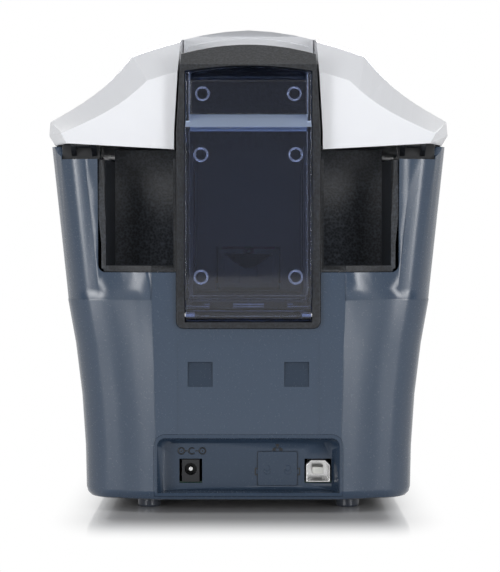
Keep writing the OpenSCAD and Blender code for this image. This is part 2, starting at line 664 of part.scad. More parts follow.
module feeder_door() color([0.12, 0.14, 0.22, 0.6]) {
    inner_y = spine_face_y - 7;
    difference() {
        union() {
            intersection() {
                along_x(-door_half, door_half) door_ribbon(door_profile, door_wall);
                along_y(tower_front_y, rear_y + 5) door_opening_outline(-0.5);
            }
            // Side walls of the box
            both_sides() block(door_half - door_wall, door_half, inner_y, rear_y, box_z0, box_z1);
            both_sides() intersection() {
                along_x(door_half - door_wall, door_half) polygon([
                    [face_y, box_z0 + eps], [face_y, door_top_z], [pocket_y - door_wall, door_top_z],
                    [pocket_y - door_wall, box_z1 - 8], [inner_y, box_z1 - 8], [inner_y, box_z0 + eps]]);
                along_y(tower_front_y, rear_y + 5) door_opening_outline(-0.5);
            }
            rod_x(-door_half, door_half, door_pivot[0], door_pivot[1], door_barrel_r);
            for (x = [-23.3, 23.3], z = [118, 178.2]) mark_ring(x, rear_y - door_wall, z);
            for (x = [-23, 23]) mark_ring(x, pocket_y - door_wall, 209.4);
        }
        both_sides() rod_x(door_half - 5, door_half + 1, door_pivot[0], door_pivot[1], door_pin_r + run);
    }
}

// ---- Grip pockets ----
pocket_wall = 1.5;
module grip_liner() color(black) {
    y_back = casing_rear_y - grip_depth;
    x_in = spine_w / 2 + 0.2;
    z1 = deck_edge_z - 0.9;
    difference() {
        union() {
            intersection() {
                difference() {
                    along_y(casing_rear_y - 9, casing_rear_y + 5) grip_outline(0);
                    block(-1, x_in, y_back - 5, rear_y + 5, 0, 300);
                    block(0, 200, y_back - 5, rear_y + 5, z1, 300);
                }
                casing_body(0, crease_z + crease_fillet, rim_z - 1.2);
            }
            linear_extrude_between(grip_floor_z - pocket_wall, z1) polygon([
                [x_in, casing_rear_y - 8.9], [grip_out_x + pocket_wall, casing_rear_y - 8.9],
                [grip_out_x - 3.5 + pocket_wall, y_back - pocket_wall], [x_in, y_back - pocket_wall]]);
            block(x_in, grip_out_x - 3.5, y_back - pocket_wall, y_back, grip_floor_z, hood_low_z - 1.8);
        }
        linear_extrude_between(grip_floor_z, 300) polygon([
            [x_in + pocket_wall, rear_y], [grip_out_x + 0.2, rear_y], [grip_out_x, casing_rear_y],
            [grip_out_x - 3.5, y_back], [x_in + pocket_wall, y_back]]);
    }
}
module linear_extrude_between(z0, z1) translate([0, 0, z0]) linear_extrude(z1 - z0) children();
module grip_liner_right() grip_liner();
module grip_liner_left() mirror([1, 0, 0]) grip_liner();

// ---- Deck and hinges ----
deck_z0 = deck_edge_z - 2.6;
ear_in = grip_out_x + grip_lip + 1.1;
ear_t = 2.6;
ear_lean = 7;
module rear_deck() color(black) difference() {
    union() {
        moulding() intersection() {
            casing_body(casing_wall + fit, deck_z0 - 14.6, rim_z - 1.2);
            block(-far / 2, far / 2, front_y, hinge_y + 3, deck_z0, deck_edge_z - 0.1);
        }
        both_sides() for (x = [ear_in, ear_in + ear_t + knuckle_w + 2 * fit]) along_x(x, x + ear_t) union() {
            translate([hinge_y, hinge_z]) circle(ear_r);
            // The ear leans forward, out of the way of the hood's rear wall as it comes down
            polygon([[hinge_y - ear_lean - 9, deck_edge_z - 0.2], [hinge_y - ear_r + 0.1, hinge_z + 1],
                     [hinge_y + 1.6, hinge_z - 2.7], [hinge_y - ear_lean, deck_edge_z - 0.2]]);
        }
    }
    // Opening over the ribbon bay and the card path
    linear_extrude_between(deck_z0 - 1, deck_edge_z + 1) plan_outline(film_w / 2 + 22, exit_y - 54, feed_y + 20, 6);
    block(-spine_w / 2 - fit, spine_w / 2 + fit, 80, rear_y, deck_z0 - 1, deck_edge_z + 1);
    both_sides() block(0, grip_out_x + grip_lip + 0.6, casing_rear_y - grip_depth - 4, rear_y, deck_z0 - 1,
                       deck_edge_z + 1);
    // Slots for the hood's two latch hooks
    both_sides() block(latch_x - 4, latch_x + 4, latch_y - 4, latch_y + 6, deck_z0 - 1, deck_edge_z + 1);
    both_sides() rod_x(ear_in - 1, ear_in + 2 * ear_t + knuckle_w + 2, hinge_y, hinge_z, hood_pin_r + 0.02);
}

module hinge_pins() color("silver") both_sides() {
    rod_x(ear_in, ear_in + 2 * ear_t + knuckle_w + 2 * fit, hinge_y, hinge_z, hood_pin_r);
    rod_x(door_half - 4.6, open_half + 2.4, door_pivot[0], door_pivot[1], door_pin_r);
    rod_x(output_door_half - 4, output_w / 2 - 0.5, output_pivot[0], output_pivot[1], output_pin_r);
}

// ---- Hood ----
latch_x = 30;
latch_y = front_y + 38;
module hood_cover() color("white") difference() {
    union() {
        moulding() difference() {
            hood_outer();
            difference() {
                hood_cavity(hood_wall);
                spine_notch(2);
            }
            spine_notch(0);
        }
        both_sides() rod_x(ear_in + ear_t + fit, ear_in + ear_t + fit + knuckle_w, hinge_y, hinge_z, ear_r);
        both_sides() block(ear_in + ear_t + fit, ear_in + ear_t + fit + knuckle_w, hinge_y, hood_rear_y - 1,
                           hinge_z - 0.6, hinge_z + ear_r);
    }
    both_sides() rod_x(ear_in, ear_in + 2 * ear_t + knuckle_w, hinge_y, hinge_z, hood_pin_r + run);
}

liner_z = rim_z + 14.8;
carrier_half = 34;
head_top_z = card_z + 16;
module hood_liner() color(black) {
    intersection() {
        hood_cavity(hood_wall + 0.2);
        union() {
            block(-carrier_half - 12, carrier_half + 12, latch_y - 6, feed_y, liner_z, liner_z + 2.4);
            for (sx = [-1, 1], y = [supply_y + 14, platen_y, take_up_y - 4])
                block(sx * (carrier_half + 4) - 4, sx * (carrier_half + 4) + 4, y - 4, y + 4, liner_z, far);
        }
    }
    // Carrier of the print head, with stiffening ribs
    block(-carrier_half, carrier_half, platen_y - 2, platen_y + 1, head_top_z, liner_z + 1);
    both_sides() for (x = [8, 30]) block(x, x + 2.4, platen_y - 7, platen_y + 6, head_top_z, liner_z + 1);
    block(-carrier_half, carrier_half, platen_y - 8, platen_y + 8, head_top_z, head_top_z + 2.4);
    // Latch hooks
    both_sides() block(latch_x - 3, latch_x + 3, latch_y - 1.5, latch_y + 1.5, deck_z0 - 5, liner_z + 1);
    both_sides() along_x(latch_x - 3, latch_x + 3) polygon([
        [latch_y + 1, deck_z0 - 1], [latch_y + 4, deck_z0 - 1], [latch_y + 1, deck_z0 - 5]]);
}
head_z0 = card_z + card_t + film_t + 0.45;
head_half = 28;
module print_head() color([0.7, 0.71, 0.73]) difference() {
    along_x(-head_half, head_half) polygon([
        [platen_y - 2.5, head_z0], [platen_y + 2.5, head_z0], [platen_y + 7.5, head_z0 + 6],
        [platen_y + 7.5, head_top_z], [platen_y - 7.5, head_top_z], [platen_y - 7.5, head_z0 + 6]]);
    // Cooling grooves
    for (x = [-25:9:20]) block(x, x + 2, platen_y - 9, platen_y - 5.5, head_z0 + 7, head_top_z - 1);
}

// ---- Connector panel ----
module jack_hole(grow) translate([jack_x, port_z]) square([11.5 + grow, 12.2 + grow], center = true);
module usb_hole() translate([usb_x, port_z]) square([usb_w + 1.6, usb_h + 1.2], center = true);
panel_face_y = casing_rear_y - port_depth;
module connector_panel() color([0.27, 0.3, 0.35]) intersection() {
    casing_outer();
    difference() {
        port_hollow(port_wall);
        port_hollow(0);
        along_y(panel_face_y - 5, panel_face_y + 3) {
            jack_hole(0);
            usb_hole();
        }
        along_y(panel_face_y - 0.8, panel_face_y + 3) translate([lan_x, port_z + 1.2])
            square([lan_w + 0.6, lan_h + 0.6], center = true);
    }
}
jack_bore_z = port_z + 1;
jack_half = 4.4;
module power_jack() color([0.16, 0.17, 0.18]) difference() {
    block(jack_x - jack_half, jack_x + jack_half, panel_face_y - 12, panel_face_y + 1.4, port_z - usb_h / 2,
          port_z + 5.8);
    translate([jack_x, panel_face_y + 2, jack_bore_z]) rotate([90, 0, 0]) cylinder(r = jack_bore_r, h = 10);
}
module power_pin() color("silver") translate([jack_x, panel_face_y + 0.8, jack_bore_z]) rotate([90, 0, 0])
    cylinder(r = 1, h = 8.8);
module network_blank() color([0.29, 0.32, 0.38]) translate([lan_x, 0, port_z + 1.2]) union() {
    along_y(panel_face_y - 0.8, panel_face_y + 1) rounded(lan_w, lan_h, 1);
    for (x = [-5.2, 5.2]) translate([x, panel_face_y + 1.2, 0.2]) rotate([90, 0, 0])
        cylinder(r = 1.4, h = 0.5);
}
module usb_shell() color([0.8, 0.8, 0.82]) translate([usb_x, 0, port_z]) difference() {
    along_y(panel_face_y - 14, panel_face_y + 1.6) usb_outline(0);
    along_y(panel_face_y - 12, panel_face_y + 3) usb_outline(-0.5);
}
// Square port with its two upper corners cut off
module usb_outline(grow) {
    w = usb_w / 2 + grow;
    h = usb_h / 2 + grow;
    c = 2.4;
    polygon([[-w, -h], [w, -h], [w, h - c], [w - c, h], [-w + c, h], [-w, h - c]]);
}
module usb_tongue() color([0.93, 0.93, 0.92])
    block(usb_x - 2.8, usb_x + 2.8, panel_face_y - 12, panel_face_y - 1, port_z - 1.7, port_z + 1.7);

board_top_z = port_z - usb_h / 2 - 0.1;
board_t = 1.6;
board_x = [-50, 44];
board_y = [panel_face_y - 66, panel_face_y - 2.4];
board_holes = [for (x = [board_x[0] + 5, board_x[1] - 5], y = [board_y[0] + 5, board_y[0] + 55]) [x, y]];
module main_board() color([0.05, 0.3, 0.16]) difference() {
    block(board_x[0], board_x[1], board_y[0], board_y[1], board_top_z - board_t, board_top_z);
    for (p = board_holes) translate(p) cylinder(r = 1.7, h = board_top_z + 5);
}
module on_board(x0, x1, y0, y1, height)
    block(x0, x1, board_y[0] + y0, board_y[0] + y1, board_top_z + 0.05, board_top_z + height);
module board_parts() color([0.2, 0.2, 0.22]) {
    on_board(-20, -4, 19, 35, 2.4);
    on_board(4, 14, 13, 27, 1.8);
    on_board(-44, -24, 2, 7, 8);
    on_board(-8, 26, 2, 6, 7);
    for (k = [0:2]) translate([22 + 8 * k, board_y[0] + 33, board_top_z + 0.05]) cylinder(r = 3.2, h = 12);
    // Stand-offs and their screws
    for (p = board_holes) translate([p[0], p[1], casing_floor_z]) {
        cylinder(r = 3, h = board_top_z - board_t - casing_floor_z);
        cylinder(r = 1.5, h = board_top_z - casing_floor_z + 0.1);
        translate([0, 0, board_top_z - casing_floor_z + 0.05]) cylinder(r = 2.8, h = 1.4);
    }
}

// ---- Chassis ----
plate_in = chassis_in_w / 2;
bush_r = shaft_r + 2;
motor_hole_r = 6.2;
hub_r = 3.5;
clean_r = 6;
clean_at = [feed_y, card_z + card_t + clean_r + 0.1];
module plate_outline() difference() {
    polygon([
        [-112, casing_floor_z], [92, casing_floor_z], [92, 62], [148, 66], [148, floor_under_z - 2],
        [92, floor_under_z - 2], [88, 124], [supply_y + 18, 132], [supply_y + 18, spool_z + 7],
        [supply_y - 14, spool_z + 7], [supply_y - 16, 134], [20, 121], [-20, 121],
        [take_up_y + 14, 138], [take_up_y + 14, spool_z + 7], [take_up_y - 38, spool_z + 7],
        [take_up_y - 38, 132], [-112, 118]]);
    for (p = [pick_at, feed_at, platen_at, exit_at]) translate(p) circle(bush_r + 0.03);
    for (p = [supply_at, take_up_at]) open_slot(p, hub_r + run);
    open_slot(clean_at, shaft_r + run);
    // Lightening holes
    translate([-60, 40]) rounded(60, 34, 6);
    translate([4, 36]) rounded(34, 30, 6);
}
module open_slot(p, r) {
    translate(p) circle(r);
    translate([p[0] - r, p[1]]) square([2 * r, far]);
}
module chassis_right() color([0.75, 0.76, 0.78]) difference() {
    along_x(plate_in, plate_in + plate_t) plate_outline();
    for (p = [motor_at, ribbon_motor_at]) rod_x(0, far, p[0], p[1], motor_hole_r);
}
module chassis_left() color([0.75, 0.76, 0.78]) along_x(-plate_in - plate_t, -plate_in) plate_outline();
module shaft_bushes() color([0.85, 0.8, 0.6]) both_sides() for (p = [pick_at, feed_at, platen_at, exit_at])
    translate([plate_in, p[0], p[1]]) rotate([0, 90, 0]) difference() {
        union() {
            cylinder(r = bush_r, h = plate_t);
            translate([0, 0, plate_t + 0.02]) cylinder(r = bush_r + 1.5, h = 1);
            translate([0, 0, plate_t - 0.5]) cylinder(r = bush_r, h = 1);
        }
        translate([0, 0, -1]) cylinder(r = shaft_r + run, h = 8);
    }

module roller_window(y, r) block(-28.6, 28.6, y - r - 1.5, y + r + 1.5, floor_under_z - 1, card_z + 5);
module card_track() color(black) {
    difference() {
        block(-30, 30, -98, stack_y0 - hopper_wall - 1.2, floor_under_z, floor_top_z);
        for (y = [feed_y, platen_y, exit_y]) roller_window(y, roller_r);
    }
    both_sides() difference() {
        block(28.6, 30, -98, 92, floor_top_z - eps, card_z + 2.4);
        block(28, 31, feed_y - 9, feed_y + 9, card_z + 0.5, card_z + 9);
    }
    // Brackets to the side plates, with the lead-out lip at the front
    both_sides() for (y = [34, -42, 84])
        block(30 - eps, plate_in - 0.05, y - 3, y + 3, floor_under_z, floor_top_z);
}

shaft_x0 = -plate_in - plate_t - 2.6;
module shaft(p) rod_x(shaft_x0, gear_x1 + 1, p[0], p[1], shaft_r);
module tyre(p, x0, x1) tube_x(x0, x1, p[0], p[1], roller_r, shaft_r + 0.03);
module pick_shaft() color("silver") shaft(pick_at);
module feed_shaft() color("silver") shaft(feed_at);
module platen_shaft() color("silver") shaft(platen_at);
module exit_shaft() color("silver") shaft(exit_at);
module pick_tyre() color([0.2, 0.2, 0.2]) both_sides() tyre(pick_at, 8, 20);
module feed_tyre() color([0.2, 0.2, 0.2]) tyre(feed_at, -27, 27);
module platen_tyre() color([0.2, 0.2, 0.2]) tyre(platen_at, -27, 27);
module exit_tyre() color([0.2, 0.2, 0.2]) both_sides() tyre(exit_at, 6, 24);
module roller_gear(p, phase) color([0.9, 0.9, 0.86]) gear(p, roller_teeth, phase, shaft_r + 0.02, 5.5, 0);
module pick_gear() roller_gear(pick_at, pick_phase);
module feed_gear() roller_gear(feed_at, feed_phase);
module platen_gear() roller_gear(platen_at, platen_phase);
module exit_gear() roller_gear(exit_at, exit_phase);
module idler(p, teeth, phase) color([0.9, 0.9, 0.86]) gear(p, teeth, phase, shaft_r + run, 6, 6);
module idler_gear_a() idler(idler_a_at, idler_a_teeth, idler_a_phase);
module idler_gear_b() idler(idler_b_at, idler_b_teeth, idler_b_phase);
module idler_gear_c() idler(idler_c_at, idler_c_teeth, idler_c_phase);
module idler_studs() color("silver") for (p = [idler_a_at, idler_b_at, idler_c_at]) {
    rod_x(plate_in + plate_t, gear_x1 + 0.4, p[0], p[1], shaft_r);
    rod_x(plate_in + plate_t, gear_x0 - 1.2, p[0], p[1], shaft_r + 1.6);
    rod_x(gear_x1 + 0.3, gear_x1 + 1.1, p[0], p[1], shaft_r + 1.8);
}
motor_shaft_r = 2.2;
module pinion(p, phase) color([0.85, 0.75, 0.4]) {
    gear(p, roller_teeth, phase, motor_shaft_r + 0.02, 5.5, 0);
    rod_x(plate_in - 2, gear_x1 + 0.5, p[0], p[1], motor_shaft_r);
}
module motor_pinion() pinion(motor_at, motor_phase);
module ribbon_pinion() pinion(ribbon_motor_at, ribbon_phase);
module motor(p, r, depth) color([0.3, 0.31, 0.33]) difference() {
    union() {
        rod_x(plate_in - depth, plate_in - 1.4, p[0], p[1], r);
        along_x(plate_in - 1.5, plate_in) translate(p) rounded(2 * r + 12, 2 * r * 0.8, 3);
    }
    rod_x(plate_in - 3, plate_in + 1, p[0], p[1], motor_shaft_r + run);
}
module drive_motor() motor(motor_at, 17, 30);
module ribbon_motor() motor(ribbon_motor_at, 10, 22);
module chassis_screws() color("silver") {
    for (sy = [-1, 1]) {
        translate([plate_in + plate_t, motor_at[0] + sy * 19.5, motor_at[1]]) screw_head();
        translate([plate_in + plate_t, ribbon_motor_at[0] + sy * 12.5, ribbon_motor_at[1]]) screw_head();
    }
}
module screw_head() rotate([0, 90, 0]) difference() {
    cylinder(r = 2.2, h = 1.5);
    translate([0, 0, 1]) rotate(30) cylinder(r = 1, h = 2, $fn = 6);
}
module cleaning_roller() color([0.55, 0.75, 0.85]) {
    rod_x(-26.5, 26.5, clean_at[0], clean_at[1], clean_r);
    rod_x(-plate_in - plate_t - 1.5, plate_in + plate_t + 1.5, clean_at[0], clean_at[1], shaft_r);
}

// ---- Ribbon ----
module spool(p, gear_side) {
    rod_x(-film_w / 2 - 1, film_w / 2 + 1, p[0], p[1], core_r);
    both_sides() rod_x(film_w / 2 + 1 - eps, film_w / 2 + 2.6, p[0], p[1], core_r + 1.5);
    rod_x(-plate_in - plate_t - 1.5, gear_side ? gear_x1 : plate_in + plate_t + 1.5, p[0], p[1], hub_r);
}
module supply_spool() color([0.25, 0.25, 0.27]) spool(supply_at, false);
module supply_roll() color([0.35, 0.12, 0.3]) tube_x(
    -film_w / 2, film_w / 2, supply_at[0], supply_at[1], film_roll_r, core_r + 0.03);
module take_up_spool() color([0.25, 0.25, 0.27]) {
    spool(take_up_at, true);
    gear(take_up_at, take_up_teeth, take_up_phase, hub_r - 0.5, 6, 5);
}
// Point where a line from p touches a circle round c, on the given side
function touch(c, r, p, side) = let (d = p - c, a = atan2(d[1], d[0]) + side * acos(r / norm(d)))
    c + r * [cos(a), sin(a)];
module ribbon_film() color([0.3, 0.1, 0.28]) {
    z = card_z + card_t + 0.15;
    rear = [platen_y + 13, z];
    front = [platen_y - 13, z];
    from_supply = touch(supply_at, film_roll_r + 0.3, rear, -1);
    to_take_up = touch(take_up_at, core_r + 0.3, front, 1);
    along_x(-film_w / 2 + 2, film_w / 2 - 2) polygon([
        from_supply, rear, front, to_take_up, to_take_up + [film_t, film_t], front + [film_t * 0.5, film_t],
        rear + [-film_t * 0.5, film_t], from_supply + [-film_t, film_t * 0.5]]);
}

// ---- Front ----
module shell_patch() difference() {
    casing_body(0, 20, rim_z);
    casing_body(casing_wall, 15, rim_z + 5);
}
release_z = 164;
release_half = 20;
button_x = 42;
button_z = 138;
button_r = 6;
light_r = 1.5;
light_xs = [-48, -39, -30, -21];
module front_panel() color([0.06, 0.06, 0.07]) difference() {
    moulding() intersection() {
        shell_patch();
        panel_region(0);
    }
    block(-release_half - fit, release_half + fit, front_y - 5, front_y + 30, release_z - 6 - fit,
          release_z + 6 + fit);
    translate([button_x, front_y + 30, button_z]) rotate([90, 0, 0]) cylinder(r = button_r + fit, h = 60);
    for (x = light_xs) translate([x, front_y + 30, button_z]) rotate([90, 0, 0])
        cylinder(r = light_r + 0.05, h = 60);
}
module release_button() color([0.75, 0.77, 0.8]) {
    y0 = casing_front(release_z - 6) - 1.4;
    block(-release_half, release_half, y0, y0 + 12, release_z - 6, release_z + 6);
    block(-release_half - 3, release_half + 3, casing_front(panel_top_z) + casing_wall + 1.2,
          casing_front(panel_top_z) + casing_wall + 3.2, release_z - 8.5, release_z + 8.5);
}
module feed_button() color([0.75, 0.77, 0.8]) {
    y0 = casing_front(button_z) - 1;
    translate([button_x, y0 + 10, button_z]) rotate([90, 0, 0]) cylinder(r = button_r, h = 10);
    translate([button_x, y0 + 8, button_z]) rotate([90, 0, 0]) cylinder(r = button_r + 2, h = 1.6);
}
module status_lights() color([0.6, 0.8, 0.9]) for (x = light_xs)
    translate([x, casing_front(button_z) + 6, button_z]) rotate([90, 0, 0]) cylinder(r = light_r, h = 6.2);

output_door_half = output_w / 2 - 3.2;
output_pin_r = 1;
output_barrel_r = 2.2;
output_pivot = [casing_front(output_bottom_z + 3) + output_barrel_r, output_bottom_z + output_barrel_r + 0.6];
bin_half = output_w / 2 - 0.6;
bin_wall = 1.8;
bin_y0 = casing_front(output_bottom_z) + casing_wall + 1.4;
bin_y1 = bin_y0 + card_l + 2.4;
module output_bin() color(black) difference() {
    union() {
        difference() {
            block(-bin_half, bin_half, bin_y0, bin_y1, output_bottom_z + 0.4, output_top_z - 8);
            block(-bin_half + bin_wall, bin_half - bin_wall, bin_y0 - 1, bin_y1 - bin_wall,
                  output_bottom_z + 0.4 + bin_wall, output_top_z + 10);
        }
        // Ears that carry the door's pins
        both_sides() along_x(bin_half - bin_wall, bin_half) union() {
            translate(output_pivot) circle(output_barrel_r);
            translate([output_pivot[0], output_pivot[1] - output_barrel_r]) square([6, 2 * output_barrel_r]);
        }
        // Feet of the bin on the casing's floor
        both_sides() block(bin_half - 6, bin_half - 2, bin_y0 + 20, bin_y1 - 10, casing_floor_z,
                           output_bottom_z + 1);
    }
    both_sides() rod_x(bin_half - bin_wall - 1, bin_half + 1, output_pivot[0], output_pivot[1],
                       output_pin_r + 0.02);
}
module output_door() color([0.12, 0.14, 0.22, 0.6]) difference() {
    union() {
        moulding() intersection() {
            shell_patch();
            union() {
                block(-output_w / 2 + fit, output_w / 2 - fit, front_y - 5, front_y + 20,
                      output_bottom_z + 7.5, output_top_z - fit);
                block(-output_door_half, output_door_half, front_y - 5, front_y + 20, output_pivot[1],
                      output_bottom_z + 8);
            }
        }
        rod_x(-output_door_half, output_door_half, output_pivot[0], output_pivot[1], output_barrel_r);
        // Finger lip along the upper edge
        block(-18, 18, casing_front(output_top_z), casing_front(output_top_z) + casing_wall + 3,
              output_top_z - 3.2, output_top_z - 1.4);
    }
    both_sides() rod_x(output_door_half - 4.4, output_w, output_pivot[0], output_pivot[1],
                       output_pin_r + run);
}

base_casing();
bottom_plate();
feet();
spine_frame();
card_hopper();
card_gate();
gate_spring();
feeder_door();
hinge_pins();
grip_liner_left();
grip_liner_right();
rear_deck();
hood_cover();
hood_liner();
print_head();
connector_panel();
power_jack();
power_pin();
network_blank();
usb_shell();
usb_tongue();
chassis_left();
chassis_right();
shaft_bushes();
card_track();
pick_shaft();
pick_tyre();
pick_gear();
feed_shaft();
feed_tyre();
feed_gear();
platen_shaft();
platen_tyre();
platen_gear();
exit_shaft();
exit_tyre();
exit_gear();
cleaning_roller();
idler_gear_a();
idler_gear_b();
idler_gear_c();
idler_studs();
motor_pinion();
drive_motor();
ribbon_motor();
ribbon_pinion();
supply_spool();
supply_roll();
take_up_spool();
ribbon_film();
main_board();
board_parts();
front_panel();
status_lights();
release_button();
feed_button();
output_bin();
output_door();
chassis_screws();
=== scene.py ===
"""Looks and stage of an ID card printer, built round its packed construction."""

import json
import math

import bpy
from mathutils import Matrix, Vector
from mathutils.bvhtree import BVHTree

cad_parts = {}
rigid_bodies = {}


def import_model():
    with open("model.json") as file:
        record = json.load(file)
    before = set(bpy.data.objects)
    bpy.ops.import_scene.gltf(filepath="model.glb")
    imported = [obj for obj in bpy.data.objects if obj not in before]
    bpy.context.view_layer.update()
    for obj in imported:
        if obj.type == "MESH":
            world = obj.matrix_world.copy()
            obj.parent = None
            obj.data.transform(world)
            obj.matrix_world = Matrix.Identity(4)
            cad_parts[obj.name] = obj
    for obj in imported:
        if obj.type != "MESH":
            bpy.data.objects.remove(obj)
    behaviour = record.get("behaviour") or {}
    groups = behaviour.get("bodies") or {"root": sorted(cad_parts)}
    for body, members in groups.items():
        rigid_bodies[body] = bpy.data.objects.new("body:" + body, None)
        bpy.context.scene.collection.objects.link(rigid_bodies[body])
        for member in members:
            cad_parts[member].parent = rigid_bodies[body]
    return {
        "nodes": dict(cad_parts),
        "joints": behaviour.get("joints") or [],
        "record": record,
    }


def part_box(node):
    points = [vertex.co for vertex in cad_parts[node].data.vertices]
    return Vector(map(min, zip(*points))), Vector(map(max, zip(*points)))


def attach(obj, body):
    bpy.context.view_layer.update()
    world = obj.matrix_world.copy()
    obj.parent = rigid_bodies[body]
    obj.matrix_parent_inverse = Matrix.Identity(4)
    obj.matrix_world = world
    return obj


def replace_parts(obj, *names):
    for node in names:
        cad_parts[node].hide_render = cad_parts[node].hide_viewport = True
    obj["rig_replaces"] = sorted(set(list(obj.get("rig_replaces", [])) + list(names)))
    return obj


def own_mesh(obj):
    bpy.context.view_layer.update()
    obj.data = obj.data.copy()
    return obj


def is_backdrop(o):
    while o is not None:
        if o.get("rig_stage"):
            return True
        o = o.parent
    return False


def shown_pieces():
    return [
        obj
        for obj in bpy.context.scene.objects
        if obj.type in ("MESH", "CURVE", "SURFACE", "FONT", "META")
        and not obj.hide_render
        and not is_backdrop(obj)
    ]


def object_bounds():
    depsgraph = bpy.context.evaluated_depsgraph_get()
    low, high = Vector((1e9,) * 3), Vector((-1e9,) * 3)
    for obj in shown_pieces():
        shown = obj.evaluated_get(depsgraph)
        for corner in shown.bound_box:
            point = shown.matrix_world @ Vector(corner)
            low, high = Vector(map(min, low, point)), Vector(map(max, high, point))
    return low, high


bl_info = {
    "name": "ID card printer",
    "version": (1, 0, 0),
    "blender": (4, 5, 0),
    "location": "3D View > Sidebar > Card printer",
    "description": "Finishes, small mouldings and studio of a desktop ID card printer",
    "category": "Object",
}

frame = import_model()
cad_box = [list(corner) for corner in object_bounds()]
NODES = frame["nodes"]
BODY_OF = {node: body for body, members in frame["record"]["behaviour"]["bodies"].items() for node in members}
SLOT_OF = {part["node"]: part["material_slot"] for part in frame["record"]["subparts"]}
MM = 0.001
MATERIALS = {}
GROUPS = {}


# ---------------------------------------------------------------- sizes

# In degrees: edges sharper than the first are rounded, and faces within the second become one
SHARP_ANGLE = 30.0
FLAT_ANGLE = 0.4
# Points closer together than this become one
WELD = 0.01 * MM
# Depth of the texture of most mouldings and metals
FINE = 0.01 * MM

# Catch windows in the casing: middle of each, half of its side, and how far in its slope lies
CATCH_X = 24 * MM
CATCH_Z = 69.4 * MM
CATCH_HALF = 6.4 * MM
CATCH_DEPTH = (0.3 * MM, 4 * MM)
# Painted shade in the catch windows: their colour as a share of the casing's
WINDOW_SHADE_SHARE = 0.68
# Grip pockets: painted light inside them, as a share of the frame's colour, and how deep their plain rim is
POCKET_LIGHT_SHARE = 1.75
POCKET_RIM = 8 * MM

# Rear lobes of the casing: height of their crease, and half of the flat middle that stays as it is
CREASE_Z = 106 * MM
CREASE_MIDDLE = 48.4 * MM
# Lowest and highest rise over the crease that swells, how far in from the rear, and how much it faces rearward
LOBE_RISE = (0.5 * MM, 80 * MM)
LOBE_DEPTH = 16 * MM
LOBE_FACING = 0.25
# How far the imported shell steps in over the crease: up to the rise STEP_RISE, and over it
STEP_START = 2.25 * MM
STEP_FULL = 3 * MM
STEP_RISE = 5 * MM
# (rise over the crease, what is left of the step), in millimetres
SWELL = ((0.8, 0.75), (6, 1.15), (28, 2.5), (54, 2.2), (77.2, 1.0))

# Hinge knuckles under the hood: inner and outer side, and their reach from the hinge in depth and height
KNUCKLES = (78.5 * MM, 86.6 * MM)
KNUCKLE_REACH = (5.2 * MM, 5 * MM)
# Lip of the hood: its gap at each side and over the frame, its rear face, its wall, and facets over its width
BROW_INSET = 1.5 * MM
BROW_GAP = 1.4 * MM
BROW_REAR = 104.4 * MM
BROW_WALL = 2.4 * MM
BROW_STEPS = 24
# The step along the lip: how far up it lies, its height and its depth
BROW_STEP_SHARE = 0.62
BROW_STEP_HEIGHT = 0.4 * MM
BROW_STEP_DEPTH = 0.8 * MM
# Finger ledge of the feeder door, as heights over its hinge. Its faces carry a pale painted sheen for the
# light from above.
DOOR_LEDGE = (92.7 * MM, 99.9 * MM)

# Marks by the sockets: radius, pitch and open part of the rings, and how thick the flat strokes are
RING_R = 1.55 * MM
RING_PITCH = 5.3 * MM
RING_GAP = math.radians(80)
STROKE = 0.3 * MM

# Strip lamps: distance from the middle of the printer, height over the floor, and size
STRIP_DISTANCE = 1.95
STRIP_HEIGHT = 0.3
STRIP_SIZE = (0.45, 1.5 * STRIP_HEIGHT)
# The other lamps: name, place, size and the setting with their power
LAMPS = (
    ("Top lamp", (0.0, 0.7, 1.5), (1.5, 1.0), "top_power"),
    ("Rear fill", (0.0, 2.3, 0.95), (0.8, 0.5), "fill_power"),
    ("Front lamp", (0.0, -2.2, 1.2), (1.8, 1.0), "front_power"),
)
LAMP_AIM = Vector((0, 0, 0.12))
FLOOR_RADIUS = 6.0
# Share of the printer's half width under which the shadow is full, and how much faster it ends sideways
SHADOW_CORE = 0.62
SHADOW_SIDE = 2.4


def srgb(red, green, blue):
    """A colour in 0 to 255, as the linear colour that a shader takes."""
    def linear(value):
        value /= 255
        return value / 12.92 if value <= 0.04045 else ((value + 0.055) / 1.055) ** 2.4
    return (linear(red), linear(green), linear(blue), 1.0)


# ---------------------------------------------------------------- settings

class FinishSettings(bpy.types.PropertyGroup):
    """Colours and roughnesses of the printer's finishes."""

    casing: bpy.props.FloatVectorProperty(
        name="Casing", description="Blue-grey of the casing", subtype="COLOR", size=4,
        default=srgb(56, 73, 94), min=0, max=1)
    # Painted shade: the socket recess is a little darker than the casing, for the shade inside it
    recess: bpy.props.FloatVectorProperty(
        name="Socket recess", description="Darker blue-grey of the socket recess", subtype="COLOR", size=4,
        default=srgb(54, 70, 90), min=0, max=1)
    black: bpy.props.FloatVectorProperty(
        name="Textured black", description="Black of the feeder frame and grip pockets", subtype="COLOR",
        size=4, default=srgb(38, 41, 46), min=0, max=1)
    inner_black: bpy.props.FloatVectorProperty(
        name="Inner black", description="Satin black of the inner mouldings", subtype="COLOR", size=4,
        default=srgb(30, 32, 36), min=0, max=1)
    hood: bpy.props.FloatVectorProperty(
        name="Hood", description="White of the hood", subtype="COLOR", size=4,
        default=srgb(243, 245, 250), min=0, max=1)
    smoke: bpy.props.FloatVectorProperty(
        name="Smoked clear", description="Tint of the clear doors", subtype="COLOR", size=4,
        default=srgb(158, 170, 202), min=0, max=1)
    casing_roughness: bpy.props.FloatProperty(
        name="Casing roughness", description="Roughness of the casing's fine texture", subtype="FACTOR",
        default=0.24, min=0, max=1)
    hood_roughness: bpy.props.FloatProperty(
        name="Hood roughness", description="Roughness of the polished hood", subtype="FACTOR",
        default=0.22, min=0, max=1)


